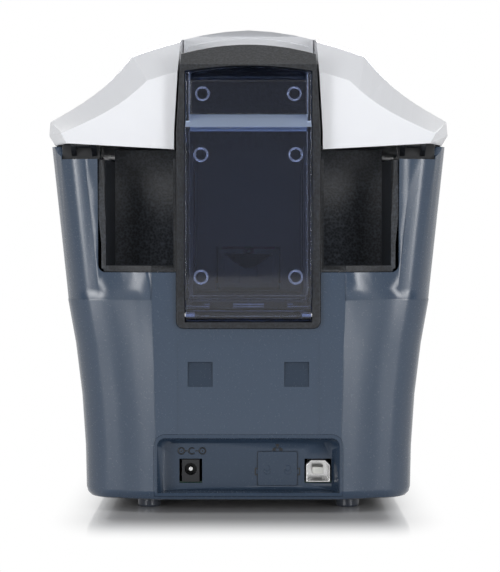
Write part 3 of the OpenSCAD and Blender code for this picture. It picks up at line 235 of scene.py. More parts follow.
class StageSettings(bpy.types.PropertyGroup):
    """Camera, lamps and floor."""

    eye_height: bpy.props.FloatProperty(
        name="Eye height", description="Height of the camera above the floor", subtype="DISTANCE",
        unit="LENGTH", default=0.139)
    eye_distance: bpy.props.FloatProperty(
        name="Distance", description="Distance from the rear face to the camera", subtype="DISTANCE",
        unit="LENGTH", default=1.10)
    eye_side: bpy.props.FloatProperty(
        name="Side step", description="How far the camera stands to the side", subtype="DISTANCE",
        unit="LENGTH", default=-0.0008)
    tilt: bpy.props.FloatProperty(
        name="Tilt", description="How far the camera looks down", subtype="ANGLE", unit="ROTATION",
        default=math.radians(1.32))
    lens: bpy.props.FloatProperty(
        name="Lens", description="Focal length in millimetres", subtype="DISTANCE_CAMERA", default=141.0)
    ambient: bpy.props.FloatProperty(
        name="Ambient", description="Strength of the light from all round", default=0.2, min=0)
    strip_turn: bpy.props.FloatProperty(
        name="Strip turn", description="How far each strip lamp stands round from the rear", subtype="ANGLE",
        unit="ROTATION", default=math.radians(31))
    strip_power: bpy.props.FloatProperty(
        name="Strip lamps", description="Power of each strip lamp", subtype="POWER", unit="POWER", default=7.6)
    top_power: bpy.props.FloatProperty(
        name="Top lamp", description="Power of the lamp overhead", subtype="POWER", unit="POWER", default=4.4)
    fill_power: bpy.props.FloatProperty(
        name="Rear fill", description="Power of the lamp over the camera, which fills the grip pockets",
        subtype="POWER", unit="POWER", default=4.6)
    front_power: bpy.props.FloatProperty(
        name="Front lamp", description="Power of the lamp that lights the front", subtype="POWER",
        unit="POWER", default=34.0)
    shadow_reach: bpy.props.FloatProperty(
        name="Shadow reach", description="How far the floor's shadow and reflection run out",
        subtype="DISTANCE", unit="LENGTH", default=0.085)


# ---------------------------------------------------------------- shader groups

def new_group(name, inputs, outputs):
    """A node group with float inputs {name: default} and named float outputs, and its two end nodes."""
    group = bpy.data.node_groups.new(name, "ShaderNodeTree")
    for label, value in inputs.items():
        socket = group.interface.new_socket(label, in_out="INPUT", socket_type="NodeSocketFloat")
        socket.default_value = value
    for label in outputs:
        group.interface.new_socket(label, in_out="OUTPUT", socket_type="NodeSocketFloat")
    return group, group.nodes.new("NodeGroupInput"), group.nodes.new("NodeGroupOutput")


def add(tree, kind, values=None, **settings):
    """A node of that kind, with its settings and the values of its input sockets."""
    node = tree.nodes.new(kind)
    for key, value in settings.items():
        setattr(node, key, value)
    for key, value in (values or {}).items():
        node.inputs[key].default_value = value
    return node


def math_node(tree, operation, first, second, clamp=False):
    """A Math node whose inputs are sockets or plain numbers."""
    node = add(tree, "ShaderNodeMath", operation=operation, use_clamp=clamp)
    for index, value in enumerate((first, second)):
        if hasattr(value, "links"):
            tree.links.new(value, node.inputs[index])
        else:
            node.inputs[index].default_value = value
    return node.outputs[0]


def grain_group():
    """Spark-eroded mould texture: pits of one size with finer noise, and a slow drift of tone."""
    group, start, end = new_group(
        "Moulded grain", {"Scale": 900.0, "Fineness": 0.5, "Drift": 0.05},
        ["Height", "Tone"])
    links = group.links
    coords = add(group, "ShaderNodeTexCoord")
    pits = add(group, "ShaderNodeTexVoronoi", feature="SMOOTH_F1", values={"Smoothness": 0.6})
    links.new(coords.outputs["Object"], pits.inputs["Vector"])
    links.new(start.outputs["Scale"], pits.inputs["Scale"])
    fine = add(group, "ShaderNodeTexNoise", values={"Detail": 3.0, "Roughness": 0.6})
    links.new(coords.outputs["Object"], fine.inputs["Vector"])
    links.new(math_node(group, "MULTIPLY", start.outputs["Scale"], 1.7), fine.inputs["Scale"])
    blend = add(group, "ShaderNodeMix", data_type="FLOAT")
    links.new(start.outputs["Fineness"], blend.inputs["Factor"])
    links.new(pits.outputs["Distance"], blend.inputs["A"])
    links.new(fine.outputs["Fac"], blend.inputs["B"])
    links.new(blend.outputs["Result"], end.inputs["Height"])
    slow = add(group, "ShaderNodeTexNoise", values={"Scale": 9.0, "Detail": 4.0})
    links.new(coords.outputs["Object"], slow.inputs["Vector"])
    centred = math_node(group, "SUBTRACT", slow.outputs["Fac"], 0.5)
    drift = math_node(group, "MULTIPLY", centred, start.outputs["Drift"])
    links.new(math_node(group, "ADD", drift, 1.0), end.inputs["Tone"])
    return group


def dust_group():
    """Fine dust that settles on faces that look up."""
    group, start, end = new_group(
        "Settled dust", {"Amount": 0.1, "Scale": 240.0}, ["Mask"])
    links = group.links
    coords = add(group, "ShaderNodeTexCoord")
    facing = add(group, "ShaderNodeSeparateXYZ")
    links.new(add(group, "ShaderNodeNewGeometry").outputs["Normal"], facing.inputs[0])
    specks = add(group, "ShaderNodeTexNoise", values={"Detail": 5.0, "Roughness": 0.7})
    links.new(coords.outputs["Object"], specks.inputs["Vector"])
    links.new(start.outputs["Scale"], specks.inputs["Scale"])
    up = math_node(group, "POWER", math_node(group, "MAXIMUM", facing.outputs["Z"], 0.0), 2.0)
    patch = math_node(group, "MULTIPLY", up, specks.outputs["Fac"])
    links.new(math_node(group, "MULTIPLY", patch, start.outputs["Amount"], clamp=True), end.inputs["Mask"])
    return group


def brushed_group():
    """Lines left by rolling, turning or grinding, drawn out along one direction."""
    group, start, end = new_group(
        "Brushed lines", {"Along X": 8.0, "Along Y": 8.0, "Along Z": 700.0},
        ["Height", "Shade"])
    links = group.links
    coords = add(group, "ShaderNodeTexCoord")
    scales = add(group, "ShaderNodeCombineXYZ")
    for label in ("X", "Y", "Z"):
        links.new(start.outputs[f"Along {label}"], scales.inputs[label])
    stretched = add(group, "ShaderNodeVectorMath", operation="MULTIPLY")
    links.new(coords.outputs["Object"], stretched.inputs[0])
    links.new(scales.outputs[0], stretched.inputs[1])
    lines = add(group, "ShaderNodeTexNoise", values={"Scale": 1.0, "Detail": 5.0, "Roughness": 0.65})
    links.new(stretched.outputs[0], lines.inputs["Vector"])
    links.new(lines.outputs["Fac"], end.inputs["Height"])
    shade = add(group, "ShaderNodeMapRange",
                values={"From Min": 0.3, "From Max": 0.7, "To Min": 0.88, "To Max": 1.08})
    links.new(lines.outputs["Fac"], shade.inputs["Value"])
    links.new(shade.outputs["Result"], end.inputs["Shade"])
    return group


GROUP_MAKERS = {"Moulded grain": grain_group, "Settled dust": dust_group, "Brushed lines": brushed_group}


def place_group(tree, name, **values):
    """A shared group placed in a material with its own values."""
    if name not in GROUPS:
        GROUPS[name] = GROUP_MAKERS[name]()
    node = tree.nodes.new("ShaderNodeGroup")
    node.node_tree = GROUPS[name]
    for key, value in values.items():
        node.inputs[key.replace("_", " ")].default_value = value
    return node


# ---------------------------------------------------------------- materials

def start_material(name):
    """A new material with its tree and its Principled shader."""
    material = bpy.data.materials.new(name)
    material.use_nodes = True
    MATERIALS[name] = material
    return material, material.node_tree, material.node_tree.nodes["Principled BSDF"]


def toned(colour, share):
    """A plain colour with that share of its light."""
    return tuple(share * part for part in colour[:3]) + (1.0,)


def tinted(tree, colour, tone):
    """The colour, or a colour socket, multiplied by a tone that changes over the surface."""
    mix = add(tree, "ShaderNodeMix", data_type="RGBA", blend_type="MULTIPLY")
    mix.inputs["Factor"].default_value = 1.0
    if hasattr(colour, "links"):
        tree.links.new(colour, mix.inputs[6])
    else:
        mix.inputs[6].default_value = colour
    tree.links.new(tone, mix.inputs[7])
    return mix.outputs[2]


def moulded(name, colour, roughness, scale=900.0, depth=FINE, fineness=0.5, drift=0.06, dust=0.1,
            coat=0.0, specular=0.5, speckle=0.0):
    """Moulded plastic or rubber: grain in the surface, slow tone drift and a little dust on top.

    Scale is grains to the metre, and depth their height. Speckle is how much they shade the colour.
    """
    material, tree, shader = start_material(name)
    grain = place_group(tree, "Moulded grain", Scale=scale, Fineness=fineness, Drift=drift)
    base = tinted(tree, colour, grain.outputs["Tone"])
    dusty = add(tree, "ShaderNodeMix", data_type="RGBA")
    dusty.inputs[7].default_value = srgb(176, 178, 180)
    settled = place_group(tree, "Settled dust", Amount=dust)
    tree.links.new(settled.outputs["Mask"], dusty.inputs["Factor"])
    tree.links.new(base, dusty.inputs[6])
    last = dusty.outputs[2]
    if speckle > 0:
        bright = add(tree, "ShaderNodeMapRange",
                     values={"From Min": 0.35, "From Max": 0.75, "To Min": 1 - speckle, "To Max": 1 + speckle})
        tree.links.new(grain.outputs["Height"], bright.inputs["Value"])
        last = tinted(tree, last, bright.outputs["Result"])
    tree.links.new(last, shader.inputs["Base Color"])
    rough = add(tree, "ShaderNodeMapRange",
                values={"From Min": 0.2, "From Max": 0.8,
                        "To Min": roughness - 0.04, "To Max": roughness + 0.06})
    tree.links.new(grain.outputs["Height"], rough.inputs["Value"])
    tree.links.new(rough.outputs["Result"], shader.inputs["Roughness"])
    bump = add(tree, "ShaderNodeBump", values={"Strength": 0.35, "Distance": depth})
    tree.links.new(grain.outputs["Height"], bump.inputs["Height"])
    tree.links.new(bump.outputs["Normal"], shader.inputs["Normal"])
    shader.inputs["Specular IOR Level"].default_value = specular
    shader.inputs["Coat Weight"].default_value = coat
    shader.inputs["Coat Roughness"].default_value = 0.08
    return material


def metal(name, colour, roughness, along):
    """Metal with lines from rolling, turning or grinding, at that many to the metre along X, Y and Z."""
    material, tree, shader = start_material(name)
    lines = place_group(tree, "Brushed lines", Along_X=along[0], Along_Y=along[1], Along_Z=along[2])
    tree.links.new(tinted(tree, colour, lines.outputs["Shade"]), shader.inputs["Base Color"])
    rough = add(tree, "ShaderNodeMapRange",
                values={"From Min": 0.3, "From Max": 0.7, "To Min": roughness, "To Max": roughness + 0.12})
    tree.links.new(lines.outputs["Height"], rough.inputs["Value"])
    tree.links.new(rough.outputs["Result"], shader.inputs["Roughness"])
    bump = add(tree, "ShaderNodeBump", values={"Strength": 0.25, "Distance": FINE})
    tree.links.new(lines.outputs["Height"], bump.inputs["Height"])
    tree.links.new(bump.outputs["Normal"], shader.inputs["Normal"])
    shader.inputs["Metallic"].default_value = 1.0
    return material


def clear(name, colour, roughness=0.02, passes=0.75):
    """Transparent plastic with faint handling marks in its polish. Passes is the share of light it lets in."""
    material, tree, shader = start_material(name)
    grain = place_group(tree, "Moulded grain", Scale=60.0, Fineness=1.0, Drift=0.05)
    tree.links.new(tinted(tree, colour, grain.outputs["Tone"]), shader.inputs["Base Color"])
    marks = add(tree, "ShaderNodeMapRange",
                values={"From Min": 0.45, "From Max": 0.8, "To Min": roughness, "To Max": roughness + 0.02})
    tree.links.new(grain.outputs["Height"], marks.inputs["Value"])
    tree.links.new(marks.outputs["Result"], shader.inputs["Roughness"])
    shaded = math_node(tree, "MULTIPLY", add(tree, "ShaderNodeLightPath").outputs["Is Shadow Ray"], passes)
    tree.links.new(math_node(tree, "SUBTRACT", 1.0, shaded), shader.inputs["Alpha"])
    shader.inputs["Transmission Weight"].default_value = 1.0
    shader.inputs["Specular IOR Level"].default_value = 0.3
    shader.inputs["IOR"].default_value = 1.5
    return material


def make_materials(finish):
    """Every finish of the printer, by material slot of the record, and three more for single faces: painted
    shade in the catch windows, painted light in the grip pockets and a painted sheen on the door's ledge.
    """
    casing = {"roughness": finish.casing_roughness, "scale": 1500.0, "depth": 0.012 * MM}
    textured = {"roughness": 0.44, "depth": 0.3 * MM, "fineness": 0.35, "dust": 0.04, "specular": 0.4,
                "speckle": 0.6}
    polished = {"scale": 60.0, "fineness": 1.0}
    moulded("casing_grey", finish.casing, dust=0.03, specular=0.65, **casing)
    # Painted shade: the recess takes its slightly darker blue-grey
    moulded("recess_grey", finish.recess, dust=0.03, specular=0.45, **casing)
    # Painted shade: a darker copy of the casing for the catch windows
    moulded("window_grey", toned(finish.casing, WINDOW_SHADE_SHARE), **casing)
    moulded("textured_black", finish.black, **textured)
    # Painted light: a lighter copy of the textured black for the inside of the grip pockets
    moulded("pocket_black", toned(finish.black, POCKET_LIGHT_SHARE), **textured)
    moulded("satin_black", finish.inner_black, 0.36, scale=1500.0)
    moulded("hood_white", finish.hood, finish.hood_roughness, scale=140.0, depth=0.004 * MM, fineness=1.0,
            drift=0.015, dust=0.02, coat=0.25)
    clear("smoked_clear", finish.smoke)
    clear("light_pipe", srgb(200, 225, 240), 0.12)
    # Painted sheen: pale blue-white for the ledge, where light from above shines through and off it
    moulded("frosted_ledge", srgb(184, 202, 232), 0.3, scale=500.0, fineness=1.0, coat=0.3)
    metal("zinc_steel", srgb(188, 192, 198), 0.3, along=(8.0, 300.0, 9.0))
    metal("ground_steel", srgb(205, 207, 211), 0.16, along=(900.0, 12.0, 12.0))
    metal("spring_steel", srgb(176, 178, 184), 0.2, along=(60.0, 60.0, 900.0))
    metal("nickel", srgb(214, 214, 214), 0.14, along=(300.0, 14.0, 14.0))
    metal("head_alloy", srgb(190, 193, 198), 0.28, along=(6.0, 260.0, 260.0))
    metal("pinion_brass", srgb(206, 172, 98), 0.22, along=(700.0, 20.0, 20.0))
    moulded("roller_rubber", srgb(38, 38, 40), 0.62, scale=1800.0, depth=0.03 * MM)
    moulded("foot_rubber", srgb(70, 76, 88), 0.3, scale=1400.0)
    moulded("cleaning_blue", srgb(120, 176, 208), 0.38, scale=500.0)
    moulded("gear_acetal", srgb(226, 226, 216), 0.34, scale=700.0)
    moulded("bush_acetal", srgb(206, 198, 164), 0.36, scale=700.0)
    moulded("motor_can", srgb(70, 72, 76), 0.34, scale=700.0, coat=0.2)
    moulded("ribbon_purple", srgb(92, 34, 82), 0.2, depth=0.004 * MM, coat=0.4, **polished)
    moulded("spool_grey", srgb(66, 67, 71), 0.4)
    moulded("board_green", srgb(28, 92, 56), 0.3, scale=400.0, coat=0.5, speckle=0.2)
    moulded("component_dark", srgb(42, 42, 45), 0.42, scale=1200.0)
    moulded("panel_black", srgb(20, 21, 24), 0.12, depth=0.002 * MM, coat=0.6, **polished)
    moulded("button_silver", srgb(186, 190, 196), 0.3, scale=1600.0, depth=0.004 * MM, coat=0.3)
    moulded("tongue_white", srgb(236, 236, 230), 0.4)


# ---------------------------------------------------------------- modelling helpers

def deselect():
    """Leaves nothing selected."""
    for obj in bpy.context.view_layer.objects:
        obj.select_set(False)


def activate(obj):
    """Makes obj the only selected object."""
    deselect()
    obj.select_set(True)
    bpy.context.view_layer.objects.active = obj


def edit(*steps):
    """Runs edit-mode steps on the whole active mesh."""
    bpy.ops.object.mode_set(mode="EDIT")
    bpy.ops.mesh.select_all(action="SELECT")
    for step in steps:
        step()
    bpy.ops.object.mode_set(mode="OBJECT")


def settle(obj, name, body, slot, *nodes):
    """Names a finished piece, gives it its material and ties it to its body and the nodes it stands for."""
    obj.name = name
    obj.data.name = name
    obj.data.materials.clear()
    obj.data.materials.append(MATERIALS[slot])
    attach(obj, body)
    if nodes:
        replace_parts(obj, *nodes)
    return obj


def refine(node, bevel=0.3, segments=2, smooth=30.0):
    """A moulded copy of a node: one joined surface, edges rounded by bevel in mm, curves shaded smooth."""
    source = NODES[node]
    piece = source.copy()
    piece.data = source.data.copy()
    for key in list(piece.keys()):
        del piece[key]
    piece.parent = None
    bpy.context.scene.collection.objects.link(piece)
    activate(piece)
    edit(lambda: bpy.ops.mesh.remove_doubles(threshold=WELD),
         lambda: bpy.ops.mesh.dissolve_limited(angle_limit=math.radians(FLAT_ANGLE)))
    if bevel > 0:
        rounding = piece.modifiers.new("Rounded edges", "BEVEL")
        rounding.width = bevel * MM
        rounding.segments = segments
        rounding.limit_method = "ANGLE"
        rounding.angle_limit = math.radians(SHARP_ANGLE)
        rounding.use_clamp_overlap = False
        rounding.miter_outer = "MITER_ARC"
        bpy.ops.object.modifier_apply(modifier=rounding.name)
    even_shading(piece, smooth)
    return settle(piece, f"{node}_finished", BODY_OF[node], SLOT_OF[node], node)


def even_shading(piece, smooth):
    """Smooth shading that keeps the large flat faces flat."""
    activate(piece)
    bpy.ops.object.shade_smooth_by_angle(angle=math.radians(smooth))
    normals = piece.modifiers.new("Even shading", "WEIGHTED_NORMAL")
    normals.keep_sharp = True
    bpy.ops.object.modifier_apply(modifier=normals.name)


def finish_faces(piece, material, test):
    """Gives a second finish to the faces whose middle passes the test."""
    piece.data.materials.append(MATERIALS[material])
    for face in piece.data.polygons:
        if test(face.center):
            face.material_index = len(piece.data.materials) - 1


def paint(*nodes):
    """Gives nodes that keep their own mesh the material of their slot."""
    for node in nodes:
        NODES[node].data.materials.clear()
        NODES[node].data.materials.append(MATERIALS[SLOT_OF[node]])


def joint_named(name):
    """A packed joint."""
    return next(joint for joint in frame["joints"] if joint["name"] == name)


def joint_place(name):
    """A point on a joint's axis."""
    return Vector(joint_named(name)["pos_m"])


def step_left(rise):
    """What is left of the step over the crease at that height over it."""
    below = max(i for i in range(len(SWELL) - 1) if rise >= SWELL[i][0] * MM or i == 0)
    (foot, low), (head, high) = SWELL[below], SWELL[below + 1]
    share = min(1, max(0, (rise / MM - foot) / (head - foot)))
    return (low + share * (high - low)) * MM


def ease_crease(casing):
    """Swells the rear lobes gently over the crease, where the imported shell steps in."""
    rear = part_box("base_casing")[1].y
    for point in casing.data.vertices:
        rise = point.co.z - CREASE_Z
        on_lobe = (LOBE_RISE[0] < rise < LOBE_RISE[1] and abs(point.co.x) > CREASE_MIDDLE
                   and point.co.y > rear - LOBE_DEPTH)
        if on_lobe and point.normal.y > LOBE_FACING:
            point.co.y += (STEP_START if rise < STEP_RISE else STEP_FULL) - step_left(rise)
    even_shading(casing, 30)


def surface(node):
    """A node's surface, to feel for heights on it."""
    mesh = NODES[node].data
    return BVHTree.FromPolygons([v.co for v in mesh.vertices], [face.vertices for face in mesh.polygons])


def first_hit(tree, start, direction):
    """Where a straight line first meets a surface."""
    place = tree.ray_cast(Vector(start), Vector(direction))[0]
    if place is None:
        raise RuntimeError(f"no surface from {start} along {direction}")
    return place


def top_at(tree, x, y):
    """Height of the top of a surface at x, y."""
    return first_hit(tree, (x, y, 1.0), (0, 0, -1)).z


def rear_at(tree, x, z):
    """Depth of a surface's rear at x, z."""
    return first_hit(tree, (x, 1.0, z), (0, -1, 0)).y


def bar(x, z, width, height, rear, thick, soften=0.15 * MM):
    """A bar with softened edges, its rear face at the given depth."""
    deselect()
    bpy.ops.mesh.primitive_cube_add(size=1, location=(x, rear - thick / 2, z))
    piece = bpy.context.object
    piece.scale = (width, thick, height)
    bpy.ops.object.transform_apply(location=True, rotation=True, scale=True)
    edit(lambda: bpy.ops.mesh.bevel(offset=soften, segments=2, affect="EDGES"))
    return piece


def ring(x, z, radius, wire, rear, gap=0.0):
    """A flattened raised ring on a rear face, with a gap of that angle on its -X side."""
    deselect()
    bpy.ops.mesh.primitive_torus_add(major_radius=radius, minor_radius=wire, major_segments=32,
                                     minor_segments=10, location=(x, rear, z), rotation=(math.pi / 2, 0, 0))
    piece = bpy.context.object
    bpy.ops.object.transform_apply(location=True, rotation=True, scale=True)
    if gap > 0:
        bpy.ops.object.mode_set(mode="EDIT")
        bpy.ops.mesh.select_mode(type="FACE")
        bpy.ops.mesh.select_all(action="DESELECT")
        bpy.ops.object.mode_set(mode="OBJECT")
        for face in piece.data.polygons:
            face.select = abs(math.atan2(face.center.z - z, x - face.center.x)) < gap / 2
        bpy.ops.object.mode_set(mode="EDIT")
        bpy.ops.mesh.delete(type="FACE")
        bpy.ops.mesh.select_all(action="SELECT")
        bpy.ops.mesh.fill_holes(sides=0)
        bpy.ops.mesh.select_mode(type="VERT")
        bpy.ops.object.mode_set(mode="OBJECT")
    edit(lambda: bpy.ops.mesh.normals_make_consistent(inside=False))
    return piece


def join(pieces):
    """One piece of several."""
    deselect()
    for piece in pieces:
        piece.select_set(True)
    bpy.context.view_layer.objects.active = pieces[0]
    bpy.ops.object.join()
    even_shading(pieces[0], 40)
    return pieces[0]


def make_polarity_mark():
    """Three linked rings over the power socket: centre contact, a part ring, outer contact."""
    wire, link, dot = 0.36 * MM, 0.5 * MM, 0.8 * MM
    thick, proud = 0.35 * MM, 0.12 * MM
    low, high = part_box("power_jack")
    x, z = (low.x + high.x) / 2 - 0.6 * MM, high.z + 4.2 * MM
    rear = rear_at(surface("connector_panel"), x, z) + 0.1 * MM
    parts = [bar(x + side * RING_PITCH / 2, z, RING_PITCH - 2 * RING_R, link, rear + proud, thick)
             for side in (-1, 1)]
    for place in (-1, 0, 1):
        centre = x + place * RING_PITCH
        parts.append(ring(centre, z, RING_R, wire, rear, gap=0 if place else RING_GAP))
        if place:
            parts.append(bar(centre, z, dot, dot, rear + proud, thick, 0.25 * MM))
    settle(join(parts), "polarity_mark", "base", "satin_black")


def make_network_mark():
    """One box over two, joined by lines, above the blanking plate."""
    box_width, box_height = 1.7 * MM, 1.3 * MM
    line = 0.4 * MM
    low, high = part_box("network_blank")
    x, z = (low.x + high.x) / 2, high.z + 2.0 * MM
    rear = rear_at(surface("connector_panel"), x, z) + 0.2 * MM
    parts = [bar(x, z + 1.1 * MM, box_width, box_height, rear, STROKE),
             bar(x, z - 0.1 * MM, line, 1.2 * MM, rear, STROKE),
             bar(x, z - 0.2 * MM, 3.8 * MM, line, rear, STROKE)]
    for side in (-1, 1):
        parts.append(bar(x + side * box_width, z - 1.0 * MM, box_width, box_height, rear, STROKE))
    settle(join(parts), "network_mark", "base", "satin_black")


def make_blank_details():
    """Snap tabs at the sides of the blanking plate, in their slots, and two ejector rings on its face."""
    ring_side, ring_rise, ring_radius, wire = 5.2 * MM, 0.4 * MM, 1.75 * MM, 0.16 * MM
    low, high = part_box("network_blank")
    x, z = (low.x + high.x) / 2, (low.z + high.z) / 2 - 1.6 * MM
    panel, plate = surface("connector_panel"), surface("network_blank")
    edge = high.x - x + 0.75 * MM
    slots, tabs = [], []
    for side in (-1, 1):
        rear = rear_at(panel, x + side * (edge + 0.3 * MM), z)
        slots.append(bar(x + side * edge, z, 1.7 * MM, 4.0 * MM, rear + 0.06 * MM, STROKE))
        tabs.append(bar(x + side * (edge - 0.3 * MM), z, 1.0 * MM, 2.4 * MM, rear + 0.5 * MM, 0.8 * MM,
                        0.2 * MM))
        tabs.append(ring(x + side * ring_side, z + ring_rise, ring_radius, wire,
                         rear_at(plate, x + side * ring_side, z)))
    settle(join(slots), "blank_slots", "base", "satin_black")
    settle(join(tabs), "blank_tabs", "base", "recess_grey")


def make_baffles():
    """Black strips that stand behind the hood's ears and close the view under the hood."""
    height, thick = 12 * MM, 1.6 * MM
    hinge = joint_place("hood_hinge")
    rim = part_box("base_casing")[1].z
    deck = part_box("grip_liner_right")[1].x
    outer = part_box("base_casing")[1].x - 6 * MM
    strips = [bar(side * (deck + outer) / 2, rim - 1.5 * MM, outer - deck, height, hinge.y - 5 * MM, thick,
                  0.3 * MM) for side in (-1, 1)]
    settle(join(strips), "hinge_baffles", "base", "satin_black")


def make_brow():
    """White lip along the hood's notch, arched over the feeder frame, with a step along its middle."""
    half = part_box("spine_frame")[1].x - BROW_INSET
    hood, spine = surface("hood_cover"), surface("spine_frame")
    deselect()
    bpy.ops.mesh.primitive_grid_add(x_subdivisions=BROW_STEPS, y_subdivisions=3, size=2, location=(0, 0, 0))
    brow = bpy.context.object
    for point in brow.data.vertices:
        x = point.co.x * half
        top = top_at(hood, x, BROW_REAR - 4 * MM) - 0.3 * MM
        foot = top_at(spine, x, BROW_REAR - 4 * MM) + BROW_GAP
        step = foot + BROW_STEP_SHARE * (top - foot)
        row = round((point.co.y + 1) * 1.5)
        height = (foot, step, step + BROW_STEP_HEIGHT, top)[row]
        point.co = (x, BROW_REAR - (0, 0, BROW_STEP_DEPTH, BROW_STEP_DEPTH)[row], height)
    activate(brow)
    wall = brow.modifiers.new("Wall", "SOLIDIFY")
    wall.thickness = BROW_WALL
    wall.offset = 1.0
    bpy.ops.object.modifier_apply(modifier=wall.name)
    edit(lambda: bpy.ops.mesh.normals_make_consistent(inside=False))
    even_shading(brow, 25)
    settle(brow, "hood_brow", "hood", "hood_white")


def door_ledge():
    """Lowest and highest z of the sloping finger ledge over the door's box."""
    hinge = joint_place("feeder_door_hinge").z
    return hinge + DOOR_LEDGE[0], hinge + DOOR_LEDGE[1]


# ---------------------------------------------------------------- stage

def make_floor(reach):
    """A white floor that takes the printer's shadow and a faint reflection close to it."""
    deselect()
    bpy.ops.mesh.primitive_circle_add(vertices=96, radius=FLOOR_RADIUS, fill_type="NGON", location=(0, 0, 0))
    floor = bpy.context.object
    floor.name = "studio_floor"
    material, tree, shader = start_material("studio_white")
    shader.inputs["Base Color"].default_value = (0.86, 0.86, 0.87, 1)
    shader.inputs["Roughness"].default_value = 0.07
    shader.inputs["Specular IOR Level"].default_value = 0.3
    glow = add(tree, "ShaderNodeEmission", values={"Strength": 1.0})
    outside = add(tree, "ShaderNodeVectorMath", operation="ABSOLUTE")
    tree.links.new(add(tree, "ShaderNodeTexCoord").outputs["Object"], outside.inputs[0])
    beyond = add(tree, "ShaderNodeVectorMath", operation="SUBTRACT")
    tree.links.new(outside.outputs[0], beyond.inputs[0])
    beyond.inputs[1].default_value = (cad_box[1][0] * SHADOW_CORE, cad_box[1][1], 0)
    cut = add(tree, "ShaderNodeVectorMath", operation="MAXIMUM")
    tree.links.new(beyond.outputs[0], cut.inputs[0])
    cut.inputs[1].default_value = (0, 0, 0)
    sideways = add(tree, "ShaderNodeVectorMath", operation="MULTIPLY")
    tree.links.new(cut.outputs[0], sideways.inputs[0])
    sideways.inputs[1].default_value = (SHADOW_SIDE, 1, 1)
    away = add(tree, "ShaderNodeVectorMath", operation="LENGTH")
    tree.links.new(sideways.outputs[0], away.inputs[0])
    spread = add(tree, "ShaderNodeMapRange", interpolation_type="SMOOTHSTEP", values={"From Max": reach})
    tree.links.new(away.outputs["Value"], spread.inputs["Value"])
    weight = math_node(tree, "MULTIPLY", spread.outputs["Result"], seen_directly(tree))
    mix = add(tree, "ShaderNodeMixShader")
    tree.links.new(weight, mix.inputs["Fac"])
    tree.links.new(shader.outputs["BSDF"], mix.inputs[1])
    tree.links.new(glow.outputs["Emission"], mix.inputs[2])
    tree.links.new(mix.outputs["Shader"], tree.nodes["Material Output"].inputs["Surface"])
    floor.data.materials.append(material)
    floor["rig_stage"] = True


def seen_directly(tree, share=1.0):
    """1 for what the camera sees straight or through a clear piece, and a share of it for what gloss shows."""
    paths = add(tree, "ShaderNodeLightPath")
    straight = math_node(tree, "MAXIMUM", paths.outputs["Is Camera Ray"], paths.outputs["Is Transmission Ray"])
    mirrored = math_node(tree, "MULTIPLY", paths.outputs["Is Glossy Ray"], share)
    return math_node(tree, "MAXIMUM", straight, mirrored)


def make_world(scene, ambient):
    """A white backdrop all round to the eye, and a gentler light for the surfaces.

    Gloss shows the white backdrop behind the printer, and the dim room on the camera's side.
    """
    world = bpy.data.worlds.new("White studio")
    world.use_nodes = True
    scene.world = world
    tree = world.node_tree
    background = tree.nodes["Background"]
    background.inputs["Color"].default_value = (1, 1, 1, 1)
    direction = add(tree, "ShaderNodeSeparateXYZ")
    tree.links.new(add(tree, "ShaderNodeTexCoord").outputs["Generated"], direction.inputs[0])
    backdrop = add(tree, "ShaderNodeMapRange", interpolation_type="SMOOTHSTEP",
                   values={"From Min": 0.6, "From Max": -0.1})
    tree.links.new(direction.outputs["Y"], backdrop.inputs["Value"])
    strength = add(tree, "ShaderNodeMix", data_type="FLOAT")
    strength.inputs["A"].default_value = ambient
    strength.inputs["B"].default_value = 1.0
    tree.links.new(seen_directly(tree, backdrop.outputs["Result"]), strength.inputs["Factor"])
    tree.links.new(strength.outputs["Result"], background.inputs["Strength"])


def make_lamp(name, place, width, height, power):
    """A soft lamp that looks at the middle of the printer."""
    data = bpy.data.lights.new(name, "AREA")
    data.shape = "RECTANGLE"
    data.size = width
    data.size_y = height
    data.energy = power
    lamp = bpy.data.objects.new(name, data)
    bpy.context.scene.collection.objects.link(lamp)
    lamp.location = place
    lamp.rotation_euler = (LAMP_AIM - Vector(place)).to_track_quat("-Z", "Y").to_euler()


def make_camera(scene, stage):
    """Camera behind the printer, looking forward over its rear face."""
    rear = cad_box[1][1]
    data = bpy.data.cameras.new("Camera")
    data.lens = stage.lens
    camera = bpy.data.objects.new("Camera", data)
    scene.collection.objects.link(camera)
    camera.location = (stage.eye_side, rear + stage.eye_distance, stage.eye_height)
    look = Vector((0, -math.cos(stage.tilt), -math.sin(stage.tilt)))
    camera.rotation_euler = look.to_track_quat("-Z", "Y").to_euler()
    scene.camera = camera


# ---------------------------------------------------------------- operators

class PrinterOperator:
    """What every step of the printer shares."""

    bl_options = {"REGISTER", "UNDO"}


class PRINTER_OT_materials(PrinterOperator, bpy.types.Operator):
    """Make every finish of the printer"""

    bl_idname = "printer.materials"
    bl_label = "Finishes"

    def execute(self, context):
        make_materials(context.scene.printer_finish)
        return {"FINISHED"}


class PRINTER_OT_casing(PrinterOperator, bpy.types.Operator):
    """Casing, underside, feet, ledge and grip pockets"""

    bl_idname = "printer.casing"
    bl_label = "Casing"

    def execute(self, context):
        casing = refine("base_casing", bevel=0)
        ease_crease(casing)
        panel = rear_at(surface("base_casing"), 0, CATCH_Z)
        # Painted shade: the windows' sloping faces get the darker casing colour, for the shade inside them
        finish_faces(casing, "window_grey", lambda at: abs(abs(at.x) - CATCH_X) < CATCH_HALF
                     and abs(at.z - CATCH_Z) < CATCH_HALF
                     and CATCH_DEPTH[0] < panel - at.y < CATCH_DEPTH[1])
        refine("rear_deck", bevel=0)
        # Painted light: the pockets' insides, behind the plain rim, get the lighter black
        for liner in ("grip_liner_left", "grip_liner_right"):
            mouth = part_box(liner)[1].y
            finish_faces(refine(liner, bevel=0), "pocket_black", lambda at: at.y < mouth - POCKET_RIM)
        refine("bottom_plate", bevel=0.3)
        refine("feet", bevel=0.3)
        return {"FINISHED"}


